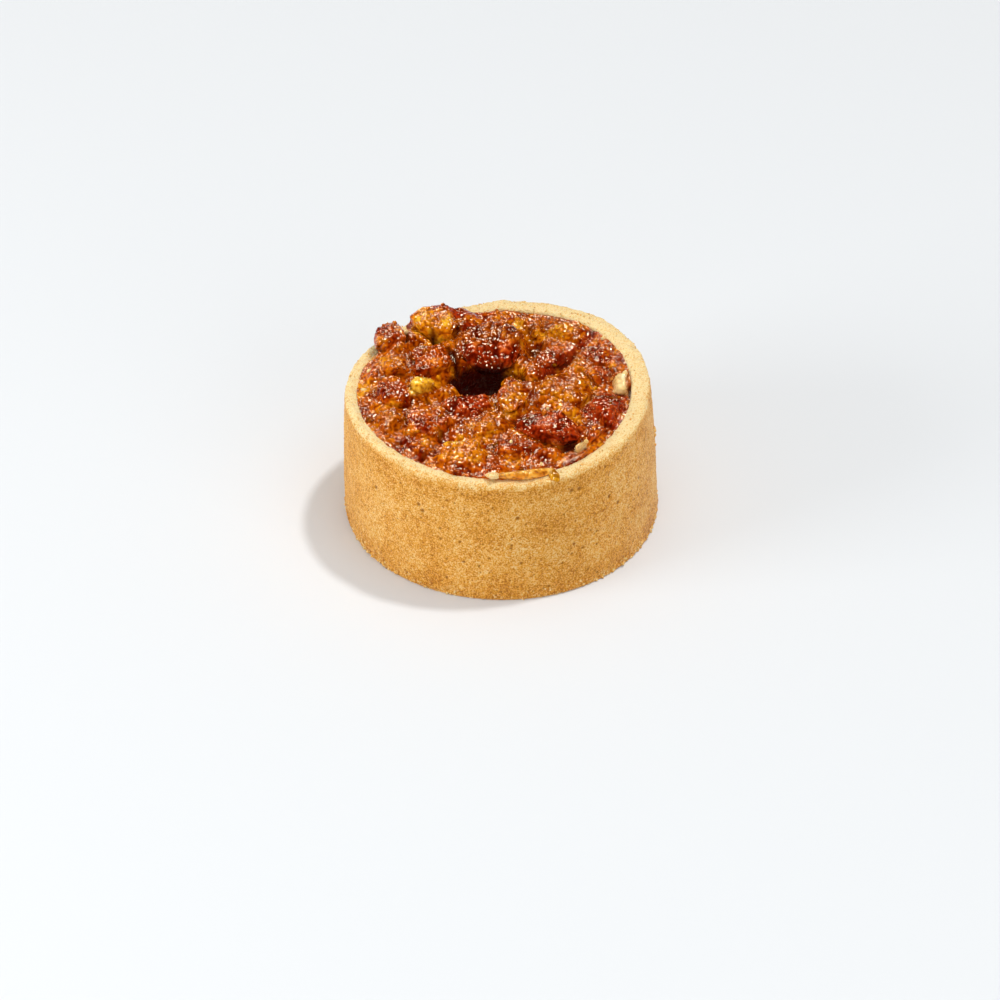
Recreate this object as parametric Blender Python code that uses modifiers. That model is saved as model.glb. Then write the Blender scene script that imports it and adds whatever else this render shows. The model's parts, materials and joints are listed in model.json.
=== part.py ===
"""Pecan tart: a straight-sided shortcrust case, whole and uncut, filled with chopped pecans in
caramel. The case, the filling and every large piece of nut are solids of their own, in metres,
with +Z up and the origin at the middle of the underside."""

import math
import random
from collections import namedtuple

import bmesh
import bpy
from mathutils import Matrix, Vector, noise

MM = 0.001

# Driving dimensions of the case, in millimetres
BASE_RADIUS = 41.0
RIM_RADIUS = 38.6
RIM_HEIGHT = 36.3
WALL_AT_RIM = 4.1
WALL_AT_FLOOR = 5.2
FLOOR = 5.0
BELLY = 0.35
RIM_ROUNDING = 0.9
FOOT_ROUNDING = 0.4
INNER_CORNER = 1.6

# How far the hand-pressed case departs from a true circle: millimetres and direction in degrees,
# first for a change on one side, then for one on two opposite sides
BASE_OVAL = (0.45, 102.0)
RIM_LEAN = (1.05, 185.0)
RIM_OVAL = (0.4, 3.0)
RIM_TILT = (2.0, 47.0)
RIM_SADDLE = (1.2, 26.0)
WALL_THICKER = (0.9, 30.0)
CASE_RELIEF = 0.16
CASE_RELIEF_SIZE = 7.0
RELIEF_STARTS_WITHIN = 4.0

# A crumb of pastry that stands on the back of the rim
RIM_CRUMB_DIRECTION = 89.0
RIM_CRUMB_HEIGHT = 0.9
RIM_CRUMB_SPREAD = 3.2

# The filling and the clearance that every solid keeps from its neighbours
GAP = 0.3
CARAMEL_ROUND_NUTS = 1.1
FILLING_LEVEL = 35.6
EDGE_DROP = (0.6, -20.0)
EDGE_DROP_MEAN = 0.35
EDGE_DROP_REACH = 9.0
LUMP_HEIGHT = 0.8
LUMP_SIZE = 5.5

# Caramel climbs the sides of each piece of nut: how far its top stays bare, and how far out the
# caramel reaches, in half lengths of the piece
NUT_SHOWS = 2.0
CARAMEL_FROM = 0.8
CARAMEL_REACH = 1.7
CARAMEL_FALL = 7.0

# How finely the turned shapes are divided
CASE_STEPS = 76
CASE_ROWS_INSIDE = 3
CASE_ROWS_OUTSIDE = 5
FILLING_STEPS = 52
FILLING_RINGS = 13
HALF_WAY_OUT = 18.0

# Pits in the filling: place, half length, half width, depth, direction of the length. A pit is
# level with the filling where its oval is this many times as large
PIT_EDGE = 1.6
Pit = namedtuple("Pit", "x y along across depth turn")
PITS = [
    Pit(-3.8, 4.6, 8.0, 4.6, 8.5, 14.0),
    Pit(10.6, -20.6, 2.6, 1.8, 4.0, 0.0),
    Pit(16.2, -21.6, 3.2, 2.0, 5.0, 0.0),
    Pit(7.6, 18.4, 2.6, 2.4, 4.5, 60.0),
    Pit(-17.6, 20.0, 2.6, 1.8, 4.0, -20.0),
    Pit(16.5, 11.5, 7.5, 1.3, 2.5, 48.0),
]

# A piece of nut: place, height of its top over the mean rim, size, and how it lies in degrees
# (turn about the vertical, pitch that lifts its far end, roll about its length)
Piece = namedtuple("Piece", "name cut x y top length width height turn pitch roll tone")
PIECES = [
    Piece("half_centre", "half", -2.8, 17.4, 5.4, 16.0, 18.5, 9.0, 84, 24, 4, "dark"),
    Piece("half_right_front", "half", 11.8, -16.0, 3.0, 18.0, 11.0, 7.0, -16, 0, 12, "dark"),
    Piece("golden_back_left", "chunk", -15.8, 24.0, 7.4, 18.5, 13.0, 11.0, 12, 8, 0, "golden"),
    Piece("golden_left_back", "chunk", -29.4, 18.0, 6.0, 11.5, 11.5, 10.5, 40, 0, 0, "golden"),
    Piece("amber_left", "chunk", -27.6, 8.6, 4.2, 11.0, 11.0, 8.5, 70, 0, 0, "amber"),
    Piece("brown_centre_left", "chunk", -17.0, 9.8, 4.6, 15.0, 12.5, 9.0, 10, 4, 0, "red"),
    Piece("yellow_chip", "chip", -20.4, -0.6, 3.9, 7.0, 6.5, 5.0, -30, 0, 0, "yellow"),
    Piece("brown_left", "chunk", -28.2, -2.2, 2.6, 13.0, 11.0, 8.0, 80, 0, 0, "red"),
    Piece("amber_left_front", "chunk", -28.4, -12.4, 1.4, 11.0, 9.5, 7.0, 110, 0, 0, "amber"),
    Piece("red_front_left", "chunk", -18.8, -14.6, 2.6, 13.0, 12.5, 8.0, -35, 0, 0, "red"),
    Piece("dark_centre_front", "chunk", -9.0, -9.2, 2.8, 13.0, 10.5, 7.5, 12, -4, 0, "dark"),
    Piece("golden_front", "chunk", -9.6, -27.4, 2.4, 12.5, 10.5, 8.5, 6, 0, -6, "golden"),
    Piece("golden_centre_right", "chunk", 3.6, -4.2, 4.0, 14.0, 11.5, 9.0, 62, 6, 0, "amber"),
    Piece("amber_centre_right", "chunk", 16.4, -1.6, 3.2, 16.5, 14.0, 9.0, -12, 0, 0, "amber"),
    Piece("amber_back_right", "chunk", 18.0, 22.6, 3.2, 16.5, 12.0, 8.5, -24, 0, 0, "amber"),
    Piece("golden_back", "chunk", 7.8, 27.0, 2.8, 10.5, 9.0, 8.0, 80, 0, 0, "golden"),
    Piece("brown_back", "chunk", -3.0, 28.2, 3.4, 14.0, 9.5, 8.0, 8, 0, 0, "red"),
    Piece("brown_right_back", "chunk", 26.6, 13.8, 2.8, 12.5, 10.5, 8.0, -50, 0, 0, "red"),
    Piece("red_right", "chunk", 25.2, 4.2, 2.6, 10.0, 9.0, 7.5, 20, 0, 0, "red"),
    Piece("pale_chip_right", "chip", 30.6, 1.2, 2.6, 8.0, 5.5, 5.4, 80, 0, 0, "pale"),
    Piece("dark_right", "chunk", 26.0, -9.4, 2.4, 14.0, 12.5, 8.5, 64, 0, 0, "dark"),
    Piece("brown_right_front", "chunk", 24.6, -20.0, 1.4, 10.5, 9.5, 7.0, 30, 0, 0, "red"),
    Piece("pale_chip_front", "chip", 21.0, -25.4, 2.2, 5.4, 4.4, 5.4, 20, 0, 0, "pale"),
    Piece("red_front_centre", "chunk", 5.2, -24.8, 1.9, 13.5, 10.5, 7.5, -6, 0, -6, "red"),
    Piece("amber_centre_front", "chunk", -2.2, -15.4, 2.4, 11.0, 10.5, 7.5, 80, 0, 0, "amber"),
    Piece("brown_back_gap", "chunk", 12.8, 13.6, 2.0, 11.0, 9.0, 7.0, 20, 0, 0, "red"),
]

# Small pieces that are one with the filling
BITS = [
    Piece("bit_left_rim", "chunk", -32.6, 6.2, 1.6, 9.0, 4.5, 5.5, 85, 0, 0, "red"),
    Piece("bit_front_rim", "chunk", -1.6, -32.4, 0.0, 7.5, 3.6, 4.0, 4, 0, 0, "red"),
    Piece("bit_front_edge", "chunk", 6.0, -33.0, -0.8, 14.0, 3.6, 3.6, 8, 0, 0, "golden"),
    Piece("bit_cavity_right", "chunk", 8.0, 7.6, 1.6, 8.0, 6.5, 6.0, 30, 0, 0, "golden"),
    Piece("bit_gap_back_left", "chunk", -12.6, 18.0, 3.2, 8.0, 6.0, 6.0, 40, 0, 0, "golden"),
    Piece("bit_left_of_cavity", "chunk", -13.4, -1.4, 1.8, 8.0, 7.0, 6.0, 60, 0, 0, "golden"),
    Piece("bit_right_edge", "chunk", 30.6, -3.4, 0.4, 6.0, 4.0, 4.0, 80, 0, 0, "red"),
    Piece("bit_back_edge", "chunk", 13.0, 30.2, 1.0, 6.5, 4.5, 4.5, -20, 0, 0, "golden"),
    Piece("bit_front_left_edge", "chunk", -20.4, -24.6, 0.4, 8.0, 5.0, 5.0, -40, 0, 0, "golden"),
    Piece("bit_left_edge", "chunk", -33.0, -4.6, 0.0, 6.5, 3.6, 4.0, 95, 0, 0, "golden"),
    Piece("bit_right_front_gap", "chunk", 17.6, -9.6, 1.4, 7.0, 5.5, 5.0, 10, 0, 0, "golden"),
    Piece("bit_front_gap", "chunk", 12.8, -26.4, 0.4, 7.0, 5.0, 4.5, 30, 0, 0, "golden"),
    Piece("bit_left_front_gap", "chunk", -11.0, -18.4, 1.2, 7.5, 5.5, 5.5, 20, 0, 0, "red"),
]

# Pieces that stand this high above the rim may overhang it, leaning out by this many degrees
OVERHANG_FROM = 4.0
OVERHANG_LEAN = 45.0
BIT_SEED = 100

# Chopped crumbs of nut strewn between the pieces and half sunk in the filling
CRUMB_COUNT = 18
CRUMB_TRIES = 400
CRUMB_LENGTH = (3.4, 5.2)
CRUMB_PROPORTIONS = (1.0, 0.8, 0.75)
CRUMB_SHOWS = 1.1
CRUMB_CLEAR = 1.25
CRUMB_FROM_CASE = 3.5
CRUMB_SEED = 11

# How round, broken and wrinkled the four cuts of nut are
Cut = namedtuple("Cut", "squareness breaks break_depth groove ripple roughness")
CUTS = {
    "crumb": Cut(0.80, 3, 0.75, 0.0, 0.0, 0.20),
    "half": Cut(0.86, 3, 0.80, 0.36, 0.07, 0.16),
    "chunk": Cut(0.72, 7, 0.72, 0.0, 0.05, 0.34),
    "chip": Cut(0.70, 4, 0.72, 0.0, 0.0, 0.16),
}
GROOVE_WIDTH = 0.22
GROOVE_FADE = 0.5
RIPPLES = 7.0
NUT_RELIEF_SIZE = 0.62
FLAT_UNDERSIDE = 0.5
BREAK_SCATTER = 1.3
BREAK_RISE = (-0.35, 0.55)

# Longer pieces have more sides and rings
LARGE_PIECE = 12.5
SMALL_PIECE = 7.6
CRUMB_PIECE = 5.3
SIDES_AND_RINGS = {"large": (13, 7), "middle": (10, 6), "small": (8, 5), "crumb": (6, 4)}

# Where two pieces meet, each keeps this share of the distance between their middles
MIDDLE_KEPT = 0.25

# Faces that turn less than this many degrees are one face, and edges that turn more than this
# are sharp
NUT_FLATNESS = 1.0
FILLING_FLATNESS = 0.05
CASE_SHARP = 50.0
FILLING_SHARP = 40.0
NUT_SHARP = 60.0

# Colours of nut, linear, with roughness
TONES = {
    "golden": ((0.55, 0.22, 0.03), 0.35),
    "amber": ((0.46, 0.13, 0.02), 0.35),
    "red": ((0.26, 0.05, 0.015), 0.35),
    "dark": ((0.11, 0.02, 0.012), 0.35),
    "yellow": ((0.72, 0.40, 0.06), 0.35),
    "pale": ((0.75, 0.50, 0.25), 0.45),
}
PASTRY_COLOUR = (0.66, 0.38, 0.14)
PASTRY_ROUGHNESS = 0.85
CARAMEL_COLOUR = (0.34, 0.09, 0.015)
CARAMEL_ROUGHNESS = 0.3


def swelling(size_and_direction, angle, sides=1):
    """How much a ring grows at an angle when it swells towards one direction, or two."""
    size, direction = size_and_direction
    return size * math.cos(sides * (angle - math.radians(direction)))


def blend(start, end, share):
    return start + (end - start) * share


def smooth_step(share):
    share = min(1.0, max(0.0, share))
    return share * share * (3.0 - 2.0 * share)


def rim_height(angle):
    """Height of the rim in one direction, with its crumb at the back."""
    turn = math.degrees(angle) - RIM_CRUMB_DIRECTION
    turn = (turn + 180.0) % 360.0 - 180.0
    crumb = RIM_CRUMB_HEIGHT * math.exp(-(turn / RIM_CRUMB_SPREAD) ** 2)
    return RIM_HEIGHT + swelling(RIM_TILT, angle) + swelling(RIM_SADDLE, angle, 2) + crumb


def outer_radius(angle, height):
    share = min(1.0, height / rim_height(angle))
    base = BASE_RADIUS + swelling(BASE_OVAL, angle, 2)
    rim = RIM_RADIUS + swelling(RIM_LEAN, angle) + swelling(RIM_OVAL, angle, 2)
    return blend(base, rim, share) + BELLY * math.sin(math.pi * share)


def inner_radius(angle, height):
    share = min(1.0, height / rim_height(angle))
    wall = blend(WALL_AT_FLOOR, WALL_AT_RIM, share) + swelling(WALL_THICKER, angle)
    return outer_radius(angle, height) - wall


def plain_outer(height):
    return blend(BASE_RADIUS, RIM_RADIUS, height / RIM_HEIGHT)


def plain_inner(height):
    return plain_outer(height) - blend(WALL_AT_FLOOR, WALL_AT_RIM, height / RIM_HEIGHT)


def relief(point, size, seed):
    """Smooth unevenness between about -1 and 1."""
    return noise.noise(point / size + Vector((seed * 7.3, seed * 3.1, seed * 5.7)))


def new_material(name, colour, roughness):
    material = bpy.data.materials.new(name)
    material.use_nodes = True
    shader = material.node_tree.nodes["Principled BSDF"]
    shader.inputs["Base Color"].default_value = (*colour, 1.0)
    shader.inputs["Roughness"].default_value = roughness
    shader.inputs["Metallic"].default_value = 0.0
    return material


def new_collection(name):
    collection = bpy.data.collections.new(name)
    bpy.context.scene.collection.children.link(collection)
    return collection


def new_object(name, mesh, collection):
    thing = bpy.data.objects.new(name, mesh)
    collection.objects.link(thing)
    return thing


def apply_modifiers(thing):
    """Swaps an object's mesh for what its modifiers make of it."""
    bpy.context.view_layer.update()
    evaluated = thing.evaluated_get(bpy.context.evaluated_depsgraph_get())
    mesh = bpy.data.meshes.new_from_object(evaluated)
    mesh.name = thing.name
    thing.modifiers.clear()
    thing.data = mesh


def turned_blank(name, profile, steps, collection):
    """Turns a half section, in millimetres, round the Z axis."""
    mesh = bpy.data.meshes.new(name)
    points = [(radius, 0.0, height) for radius, height in profile]
    edges = [(index, index + 1) for index in range(len(points) - 1)]
    mesh.from_pydata(points, edges, [])
    thing = new_object(name, mesh, collection)
    screw = thing.modifiers.new("turn", "SCREW")
    screw.axis = "Z"
    screw.steps = steps
    screw.render_steps = steps
    screw.use_merge_vertices = True
    screw.merge_threshold = 0.0001
    apply_modifiers(thing)
    return thing


def rim_corner(radius, side):
    """Middle of a rounded edge of the rim. Side is 1 where the wall lies outwards, -1 inwards."""
    inset = RIM_ROUNDING * (1.0 - math.cos(math.radians(45.0)))
    return (radius + side * inset, RIM_HEIGHT - inset)


def rows_between(start, end, count):
    return [blend(start, end, row / count) for row in range(count + 1)]


def case_profile():
    """Half section of the case: over the floor, up the inside, over the rim, down the outside."""
    below_rim = RIM_HEIGHT - RIM_ROUNDING
    inside_heights = rows_between(FLOOR + INNER_CORNER, below_rim, CASE_ROWS_INSIDE)
    outside_heights = rows_between(below_rim, FOOT_ROUNDING, CASE_ROWS_OUTSIDE)
    profile = [(0.0, FLOOR), (HALF_WAY_OUT, FLOOR), (plain_inner(FLOOR) - INNER_CORNER, FLOOR)]
    profile += [(plain_inner(height), height) for height in inside_heights]
    profile.append(rim_corner(plain_inner(RIM_HEIGHT), 1.0))
    profile.append((RIM_RADIUS - 0.5 * WALL_AT_RIM, RIM_HEIGHT))
    profile.append(rim_corner(RIM_RADIUS, -1.0))
    profile += [(plain_outer(height), height) for height in outside_heights]
    profile += [(BASE_RADIUS - FOOT_ROUNDING, 0.0), (HALF_WAY_OUT, 0.0), (0.0, 0.0)]
    return profile


def shape_case(point):
    """Moves a point of the true turned case to where the hand-pressed case has it."""
    angle = math.atan2(point.y, point.x)
    radius = math.hypot(point.x, point.y)
    height = point.z
    if height > FLOOR:
        share = (height - FLOOR) / (RIM_HEIGHT - FLOOR)
        height = blend(FLOOR, rim_height(angle), share)
    plain_in = plain_inner(point.z)
    plain_out = plain_outer(point.z)
    inner = inner_radius(angle, height)
    outer = outer_radius(angle, height)
    if radius > plain_in:
        share = (radius - plain_in) / (plain_out - plain_in)
        rising = smooth_step(height / RELIEF_STARTS_WITHIN)
        uneven = CASE_RELIEF * rising * relief(point, CASE_RELIEF_SIZE, 1)
        new_radius = blend(inner, outer, share) + uneven
    else:
        new_radius = inner * radius / plain_in
    if point.z > RIM_HEIGHT - RIM_ROUNDING:
        height += CASE_RELIEF * relief(point, 0.5 * CASE_RELIEF_SIZE, 2)
    return Vector((new_radius * math.cos(angle), new_radius * math.sin(angle), height))


def make_case(collection):
    case = turned_blank("pastry_case", case_profile(), CASE_STEPS, collection)
    for vertex in case.data.vertices:
        vertex.co = shape_case(vertex.co)
    return case


def pit_depth(x, y):
    """How far the pits pull the top of the filling down at one place."""
    depth = 0.0
    for pit in PITS:
        away = Matrix.Rotation(-math.radians(pit.turn), 2) @ Vector((x - pit.x, y - pit.y))
        reach = math.hypot(away.x / pit.along, away.y / pit.across)
        depth = max(depth, pit.depth * smooth_step(PIT_EDGE - reach))
    return depth


def climb_height(piece, x, y):
    """How high the caramel stands against one piece of nut: high beside it, low further out, and
    lower where the nut dips. The lifted end of a pitched nut stands free."""
    turned = Matrix.Rotation(-math.radians(piece.turn), 2) @ Vector((x - piece.x, y - piece.y))
    reach = math.hypot(2.0 * turned.x / piece.length, 2.0 * turned.y / piece.width)
    outside = max(0.0, reach - CARAMEL_FROM) / (CARAMEL_REACH - CARAMEL_FROM)
    along = max(-0.5 * piece.length, min(0.0, turned.x))
    slope = along * math.tan(math.radians(piece.pitch))
    return RIM_HEIGHT + piece.top + slope - NUT_SHOWS - CARAMEL_FALL * smooth_step(outside)


def filling_top(x, y):
    """Height of the top of the filling: level, sunk towards the case, lumpy and pitted."""
    angle = math.atan2(y, x)
    radius = math.hypot(x, y)
    to_edge = inner_radius(angle, RIM_HEIGHT) - radius
    edge_share = smooth_step(1.0 - to_edge / EDGE_DROP_REACH)
    follow_rim = (rim_height(angle) - RIM_HEIGHT) * smooth_step(radius / RIM_RADIUS)
    drop = (EDGE_DROP_MEAN + swelling(EDGE_DROP, angle)) * edge_share
    lumps = relief(Vector((x, y, 0.0)), LUMP_SIZE, 3)
    lumps += 0.5 * relief(Vector((x, y, 0.0)), 0.5 * LUMP_SIZE, 4)
    level = FILLING_LEVEL + follow_rim - drop
    level = max([level] + [climb_height(piece, x, y) for piece in PIECES])
    return level + LUMP_HEIGHT * lumps - pit_depth(x, y)


def filling_profile():
    """Half section of the filling as a plain plug: over the top, down the side, under the floor."""
    radii = rows_between(0.0, plain_inner(FILLING_LEVEL), FILLING_RINGS)
    corner = INNER_CORNER + GAP
    half_way_down = blend(FILLING_LEVEL, FLOOR, 0.5)
    profile = [(radius, FILLING_LEVEL) for radius in radii]
    profile += [(plain_inner(height), height) for height in (half_way_down, FLOOR + corner)]
    profile += [(plain_inner(FLOOR) - corner, FLOOR), (HALF_WAY_OUT, FLOOR), (0.0, FLOOR)]
    return profile


def shape_filling(point):
    """Moves a point of the plain plug to where it lies in the uneven case."""
    angle = math.atan2(point.y, point.x)
    share = math.hypot(point.x, point.y) / plain_inner(point.z)
    height = point.z
    if height == FLOOR:
        height += GAP
    radius = share * (inner_radius(angle, height) - GAP)
    if point.z > FILLING_LEVEL - GAP:
        height = filling_top(radius * math.cos(angle), radius * math.sin(angle))
        radius = share * (inner_radius(angle, height) - GAP)
    return Vector((radius * math.cos(angle), radius * math.sin(angle), height))


def make_filling(collection):
    filling = turned_blank("caramel_filling", filling_profile(), FILLING_STEPS, collection)
    for vertex in filling.data.vertices:
        vertex.co = shape_filling(vertex.co)
    return filling


def break_faces(count, seed):
    """Directions of the faces where a piece of nut is broken, spread round it and seeded."""
    directions = []
    for index in range(count):
        scatter = BREAK_SCATTER * noise.cell(Vector((seed, index, 0.5)))
        turn = math.tau * (index + 0.5) / count + scatter
        rise = blend(*BREAK_RISE, noise.cell(Vector((seed, index, 7.5))))
        direction = Vector((math.cos(turn), math.sin(turn), rise))
        directions.append(direction.normalized())
    return directions


def nut_point(unit, cut, faces, seed):
    """Where a point of a unit sphere lies on a piece of nut two units long, wide and high."""
    point = Vector([math.copysign(abs(part) ** cut.squareness, part) for part in unit])
    along = unit.x
    if cut.groove > 0.0 and unit.z > 0.0:
        valley = math.exp(-(unit.y / GROOVE_WIDTH) ** 2) * (1.0 - GROOVE_FADE * along * along)
        point.z -= cut.groove * valley
    point.z += cut.ripple * math.sin(RIPPLES * along + seed) * abs(unit.y)
    point += cut.roughness * relief(unit, NUT_RELIEF_SIZE, seed) * unit
    for face in faces:
        beyond = point.dot(face) - cut.break_depth
        if beyond > 0.0:
            point -= beyond * face
    point.z = max(point.z, -FLAT_UNDERSIDE)
    return point


def size_class(length):
    if length > LARGE_PIECE:
        return "large"
    if length > SMALL_PIECE:
        return "middle"
    if length > CRUMB_PIECE:
        return "small"
    return "crumb"


def make_piece(piece, seed, collection):
    """A piece of pecan: a sphere shaped by its cut, scaled, turned and laid in its place."""
    sides, rings = SIDES_AND_RINGS[size_class(piece.length)]
    cut = CUTS[piece.cut]
    faces = break_faces(cut.breaks, seed)
    blank = bmesh.new()
    bmesh.ops.create_uvsphere(blank, u_segments=sides, v_segments=rings, radius=1.0)
    lay_down = Matrix.Rotation(math.radians(90.0), 3, "Y")
    turn = Matrix.Rotation(math.radians(piece.turn), 3, "Z")
    pitch = Matrix.Rotation(-math.radians(piece.pitch), 3, "Y")
    roll = Matrix.Rotation(math.radians(piece.roll), 3, "X")
    half_size = Matrix.Diagonal((piece.length / 2, piece.width / 2, piece.height / 2))
    centre = Vector((piece.x, piece.y, RIM_HEIGHT + piece.top - piece.height / 2))
    for vertex in blank.verts:
        shaped = nut_point(lay_down @ vertex.co, cut, faces, seed)
        vertex.co = centre + turn @ pitch @ roll @ half_size @ shaped
    mesh = bpy.data.meshes.new(piece.name)
    blank.to_mesh(mesh)
    blank.free()
    return new_object("pecan_" + piece.name, mesh, collection)


def is_clear(x, y, length, others):
    """Whether a crumb at one place lies clear of the pits and of the pieces already laid."""
    if pit_depth(x, y) > 0.0:
        return False
    for other in others:
        away = Matrix.Rotation(-math.radians(other.turn), 2) @ Vector((x - other.x, y - other.y))
        half_length = 0.5 * (other.length + length)
        half_width = 0.5 * (other.width + length)
        if math.hypot(away.x / half_length, away.y / half_width) < 1.0 / CRUMB_CLEAR:
            return False
    return True


def strewn_crumbs():
    """Crumbs at random places where the caramel shows, with a fixed seed."""
    draw = random.Random(CRUMB_SEED)
    crumbs = []
    for attempt in range(CRUMB_TRIES):
        radius = (RIM_RADIUS - WALL_AT_RIM - CRUMB_FROM_CASE) * math.sqrt(draw.random())
        angle = math.tau * draw.random()
        length = draw.uniform(*CRUMB_LENGTH)
        turn = draw.uniform(0.0, 180.0)
        x, y = radius * math.cos(angle), radius * math.sin(angle)
        if len(crumbs) == CRUMB_COUNT or not is_clear(x, y, length, PIECES + BITS + crumbs):
            continue
        top = filling_top(x, y) + CRUMB_SHOWS - RIM_HEIGHT
        name = "crumb_{}".format(len(crumbs))
        size = [length * share for share in CRUMB_PROPORTIONS]
        crumbs.append(Piece(name, "crumb", x, y, top, *size, turn, 0, 0, "amber"))
    return crumbs


def middle_of(thing):
    total = Vector()
    for vertex in thing.data.vertices:
        total += vertex.co
    return total / len(thing.data.vertices)


def press_apart(things):
    """Flattens pieces that come close against the plane between them, with caramel to spare."""
    for index, first in enumerate(things):
        for second in things[index + 1:]:
            line = middle_of(second) - middle_of(first)
            normal = line.normalized()
            first_end = max(vertex.co.dot(normal) for vertex in first.data.vertices)
            second_end = min(vertex.co.dot(normal) for vertex in second.data.vertices)
            if first_end + CARAMEL_ROUND_NUTS < second_end:
                continue
            middle = 0.5 * (first_end + second_end)
            lower, upper = middle_of(first).dot(normal), middle_of(second).dot(normal)
            margin = MIDDLE_KEPT * (upper - lower)
            middle = min(max(middle, lower + margin), upper - margin)
            slice_off(first, normal, middle - 0.5 * CARAMEL_ROUND_NUTS)
            slice_off(second, -normal, -(middle + 0.5 * CARAMEL_ROUND_NUTS))


def slice_off(thing, normal, limit):
    """Cuts away what lies beyond a plane and closes the cut with a flat face."""
    solid = bmesh.new()
    solid.from_mesh(thing.data)
    everything = solid.verts[:] + solid.edges[:] + solid.faces[:]
    bmesh.ops.bisect_plane(
        solid, geom=everything, dist=0.001, plane_co=limit * normal, plane_no=normal,
        clear_outer=True)
    rim = [edge for edge in solid.edges if edge.is_boundary]
    if rim:
        bmesh.ops.contextual_create(solid, geom=rim)
    solid.to_mesh(thing.data)
    solid.free()


def keep_in_case(thing, lean):
    """Cuts a flat side where a nut would come too near the inside of the case. The cut is upright,
    or leans outward by some degrees from the edge of the rim, so that a high nut overhangs it."""
    middle = middle_of(thing)
    outward = Vector((middle.x, middle.y, 0.0)).normalized()
    sideways = Vector((-outward.y, outward.x, 0.0))
    angle = math.atan2(middle.y, middle.x)
    clear_radius = inner_radius(angle, RIM_HEIGHT) - CARAMEL_ROUND_NUTS
    half_chord = max(abs(vertex.co.dot(sideways)) for vertex in thing.data.vertices)
    reach = math.sqrt(clear_radius ** 2 - half_chord ** 2)
    edge = reach * outward + Vector((0.0, 0.0, rim_height(angle)))
    tilt = math.radians(lean)
    normal = math.cos(tilt) * outward - Vector((0.0, 0.0, math.sin(tilt)))
    if max(vertex.co.dot(normal) for vertex in thing.data.vertices) > edge.dot(normal):
        slice_off(thing, normal, edge.dot(normal))


def merge_flat_faces(thing, angle):
    """Joins faces that lie in one plane, and drops the points that only two faces share."""
    solid = bmesh.new()
    solid.from_mesh(thing.data)
    bmesh.ops.dissolve_limit(
        solid, angle_limit=math.radians(angle), verts=solid.verts, edges=solid.edges)
    idle = [vertex for vertex in solid.verts if len(vertex.link_edges) == 2]
    while idle:
        bmesh.ops.dissolve_verts(solid, verts=idle)
        idle = [vertex for vertex in solid.verts if len(vertex.link_edges) == 2]
    bmesh.ops.triangulate(solid, faces=solid.faces)
    solid.to_mesh(thing.data)
    solid.free()


def socket_for(thing, collection):
    """A copy of a nut, larger all round by the gap, that cuts the nut's place in the filling."""
    mesh = thing.data.copy()
    grown = bmesh.new()
    grown.from_mesh(mesh)
    bmesh.ops.recalc_face_normals(grown, faces=grown.faces)
    grown.normal_update()
    moves = [(vertex, vertex.normal.copy()) for vertex in grown.verts]
    for vertex, normal in moves:
        vertex.co += 1.2 * GAP * normal
    grown.to_mesh(mesh)
    grown.free()
    socket = new_object(thing.name + "_socket", mesh, collection)
    socket.hide_render = True
    socket.display_type = "WIRE"
    return socket


def combine(thing, operation, collection):
    """One Boolean of an object with a whole collection, applied."""
    boolean = thing.modifiers.new("combine", "BOOLEAN")
    boolean.operation = operation
    boolean.operand_type = "COLLECTION"
    boolean.collection = collection
    boolean.solver = "EXACT"
    apply_modifiers(thing)


def drop_scraps(thing):
    """Keeps only the largest connected body of a mesh."""
    solid = bmesh.new()
    solid.from_mesh(thing.data)
    unseen = set(solid.verts)
    bodies = []
    while unseen:
        start = unseen.pop()
        body = {start}
        front = [start]
        while front:
            vertex = front.pop()
            for edge in vertex.link_edges:
                other = edge.other_vert(vertex)
                if other in unseen:
                    unseen.remove(other)
                    body.add(other)
                    front.append(other)
        bodies.append(body)
    largest = max(bodies, key=len)
    scraps = [vertex for body in bodies if body is not largest for vertex in body]
    bmesh.ops.delete(solid, geom=scraps, context="VERTS")
    solid.to_mesh(thing.data)
    solid.free()


def remove_objects(collection):
    for thing in list(collection.objects):
        bpy.data.objects.remove(thing)


def finish_solid(thing, material, smooth_angle):
    """Scales an object from millimetres to metres and gives it its shading and material."""
    thing.data.transform(Matrix.Scale(MM, 4))
    thing.data.materials.clear()
    thing.data.materials.append(material)
    thing.data.shade_smooth()
    thing.data.set_sharp_from_angle(angle=math.radians(smooth_angle))


def main():
    for thing in list(bpy.data.objects):
        bpy.data.objects.remove(thing)
    tart = new_collection("pecan_tart")
    bits = new_collection("fused_bits")
    cutters = new_collection("cutters")

    case = make_case(tart)
    nuts = [make_piece(piece, seed, tart) for seed, piece in enumerate(PIECES)]
    press_apart(nuts)
    for nut, piece in zip(nuts, PIECES):
        keep_in_case(nut, OVERHANG_LEAN if piece.top > OVERHANG_FROM else 0.0)
        merge_flat_faces(nut, NUT_FLATNESS)

    filling = make_filling(tart)
    for seed, piece in enumerate(BITS + strewn_crumbs()):
        keep_in_case(make_piece(piece, BIT_SEED + seed, bits), 0.0)
    combine(filling, "UNION", bits)
    remove_objects(bits)
    bpy.data.collections.remove(bits)
    for nut in nuts:
        socket_for(nut, cutters)
    combine(filling, "DIFFERENCE", cutters)
    remove_objects(cutters)
    drop_scraps(filling)
    merge_flat_faces(filling, FILLING_FLATNESS)

    finish_solid(case, new_material("pastry", PASTRY_COLOUR, PASTRY_ROUGHNESS), CASE_SHARP)
    caramel = new_material("caramel", CARAMEL_COLOUR, CARAMEL_ROUGHNESS)
    finish_solid(filling, caramel, FILLING_SHARP)
    for nut, piece in zip(nuts, PIECES):
        colour, roughness = TONES[piece.tone]
        finish_solid(nut, new_material("pecan_" + piece.name, colour, roughness), NUT_SHARP)


main()
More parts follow.
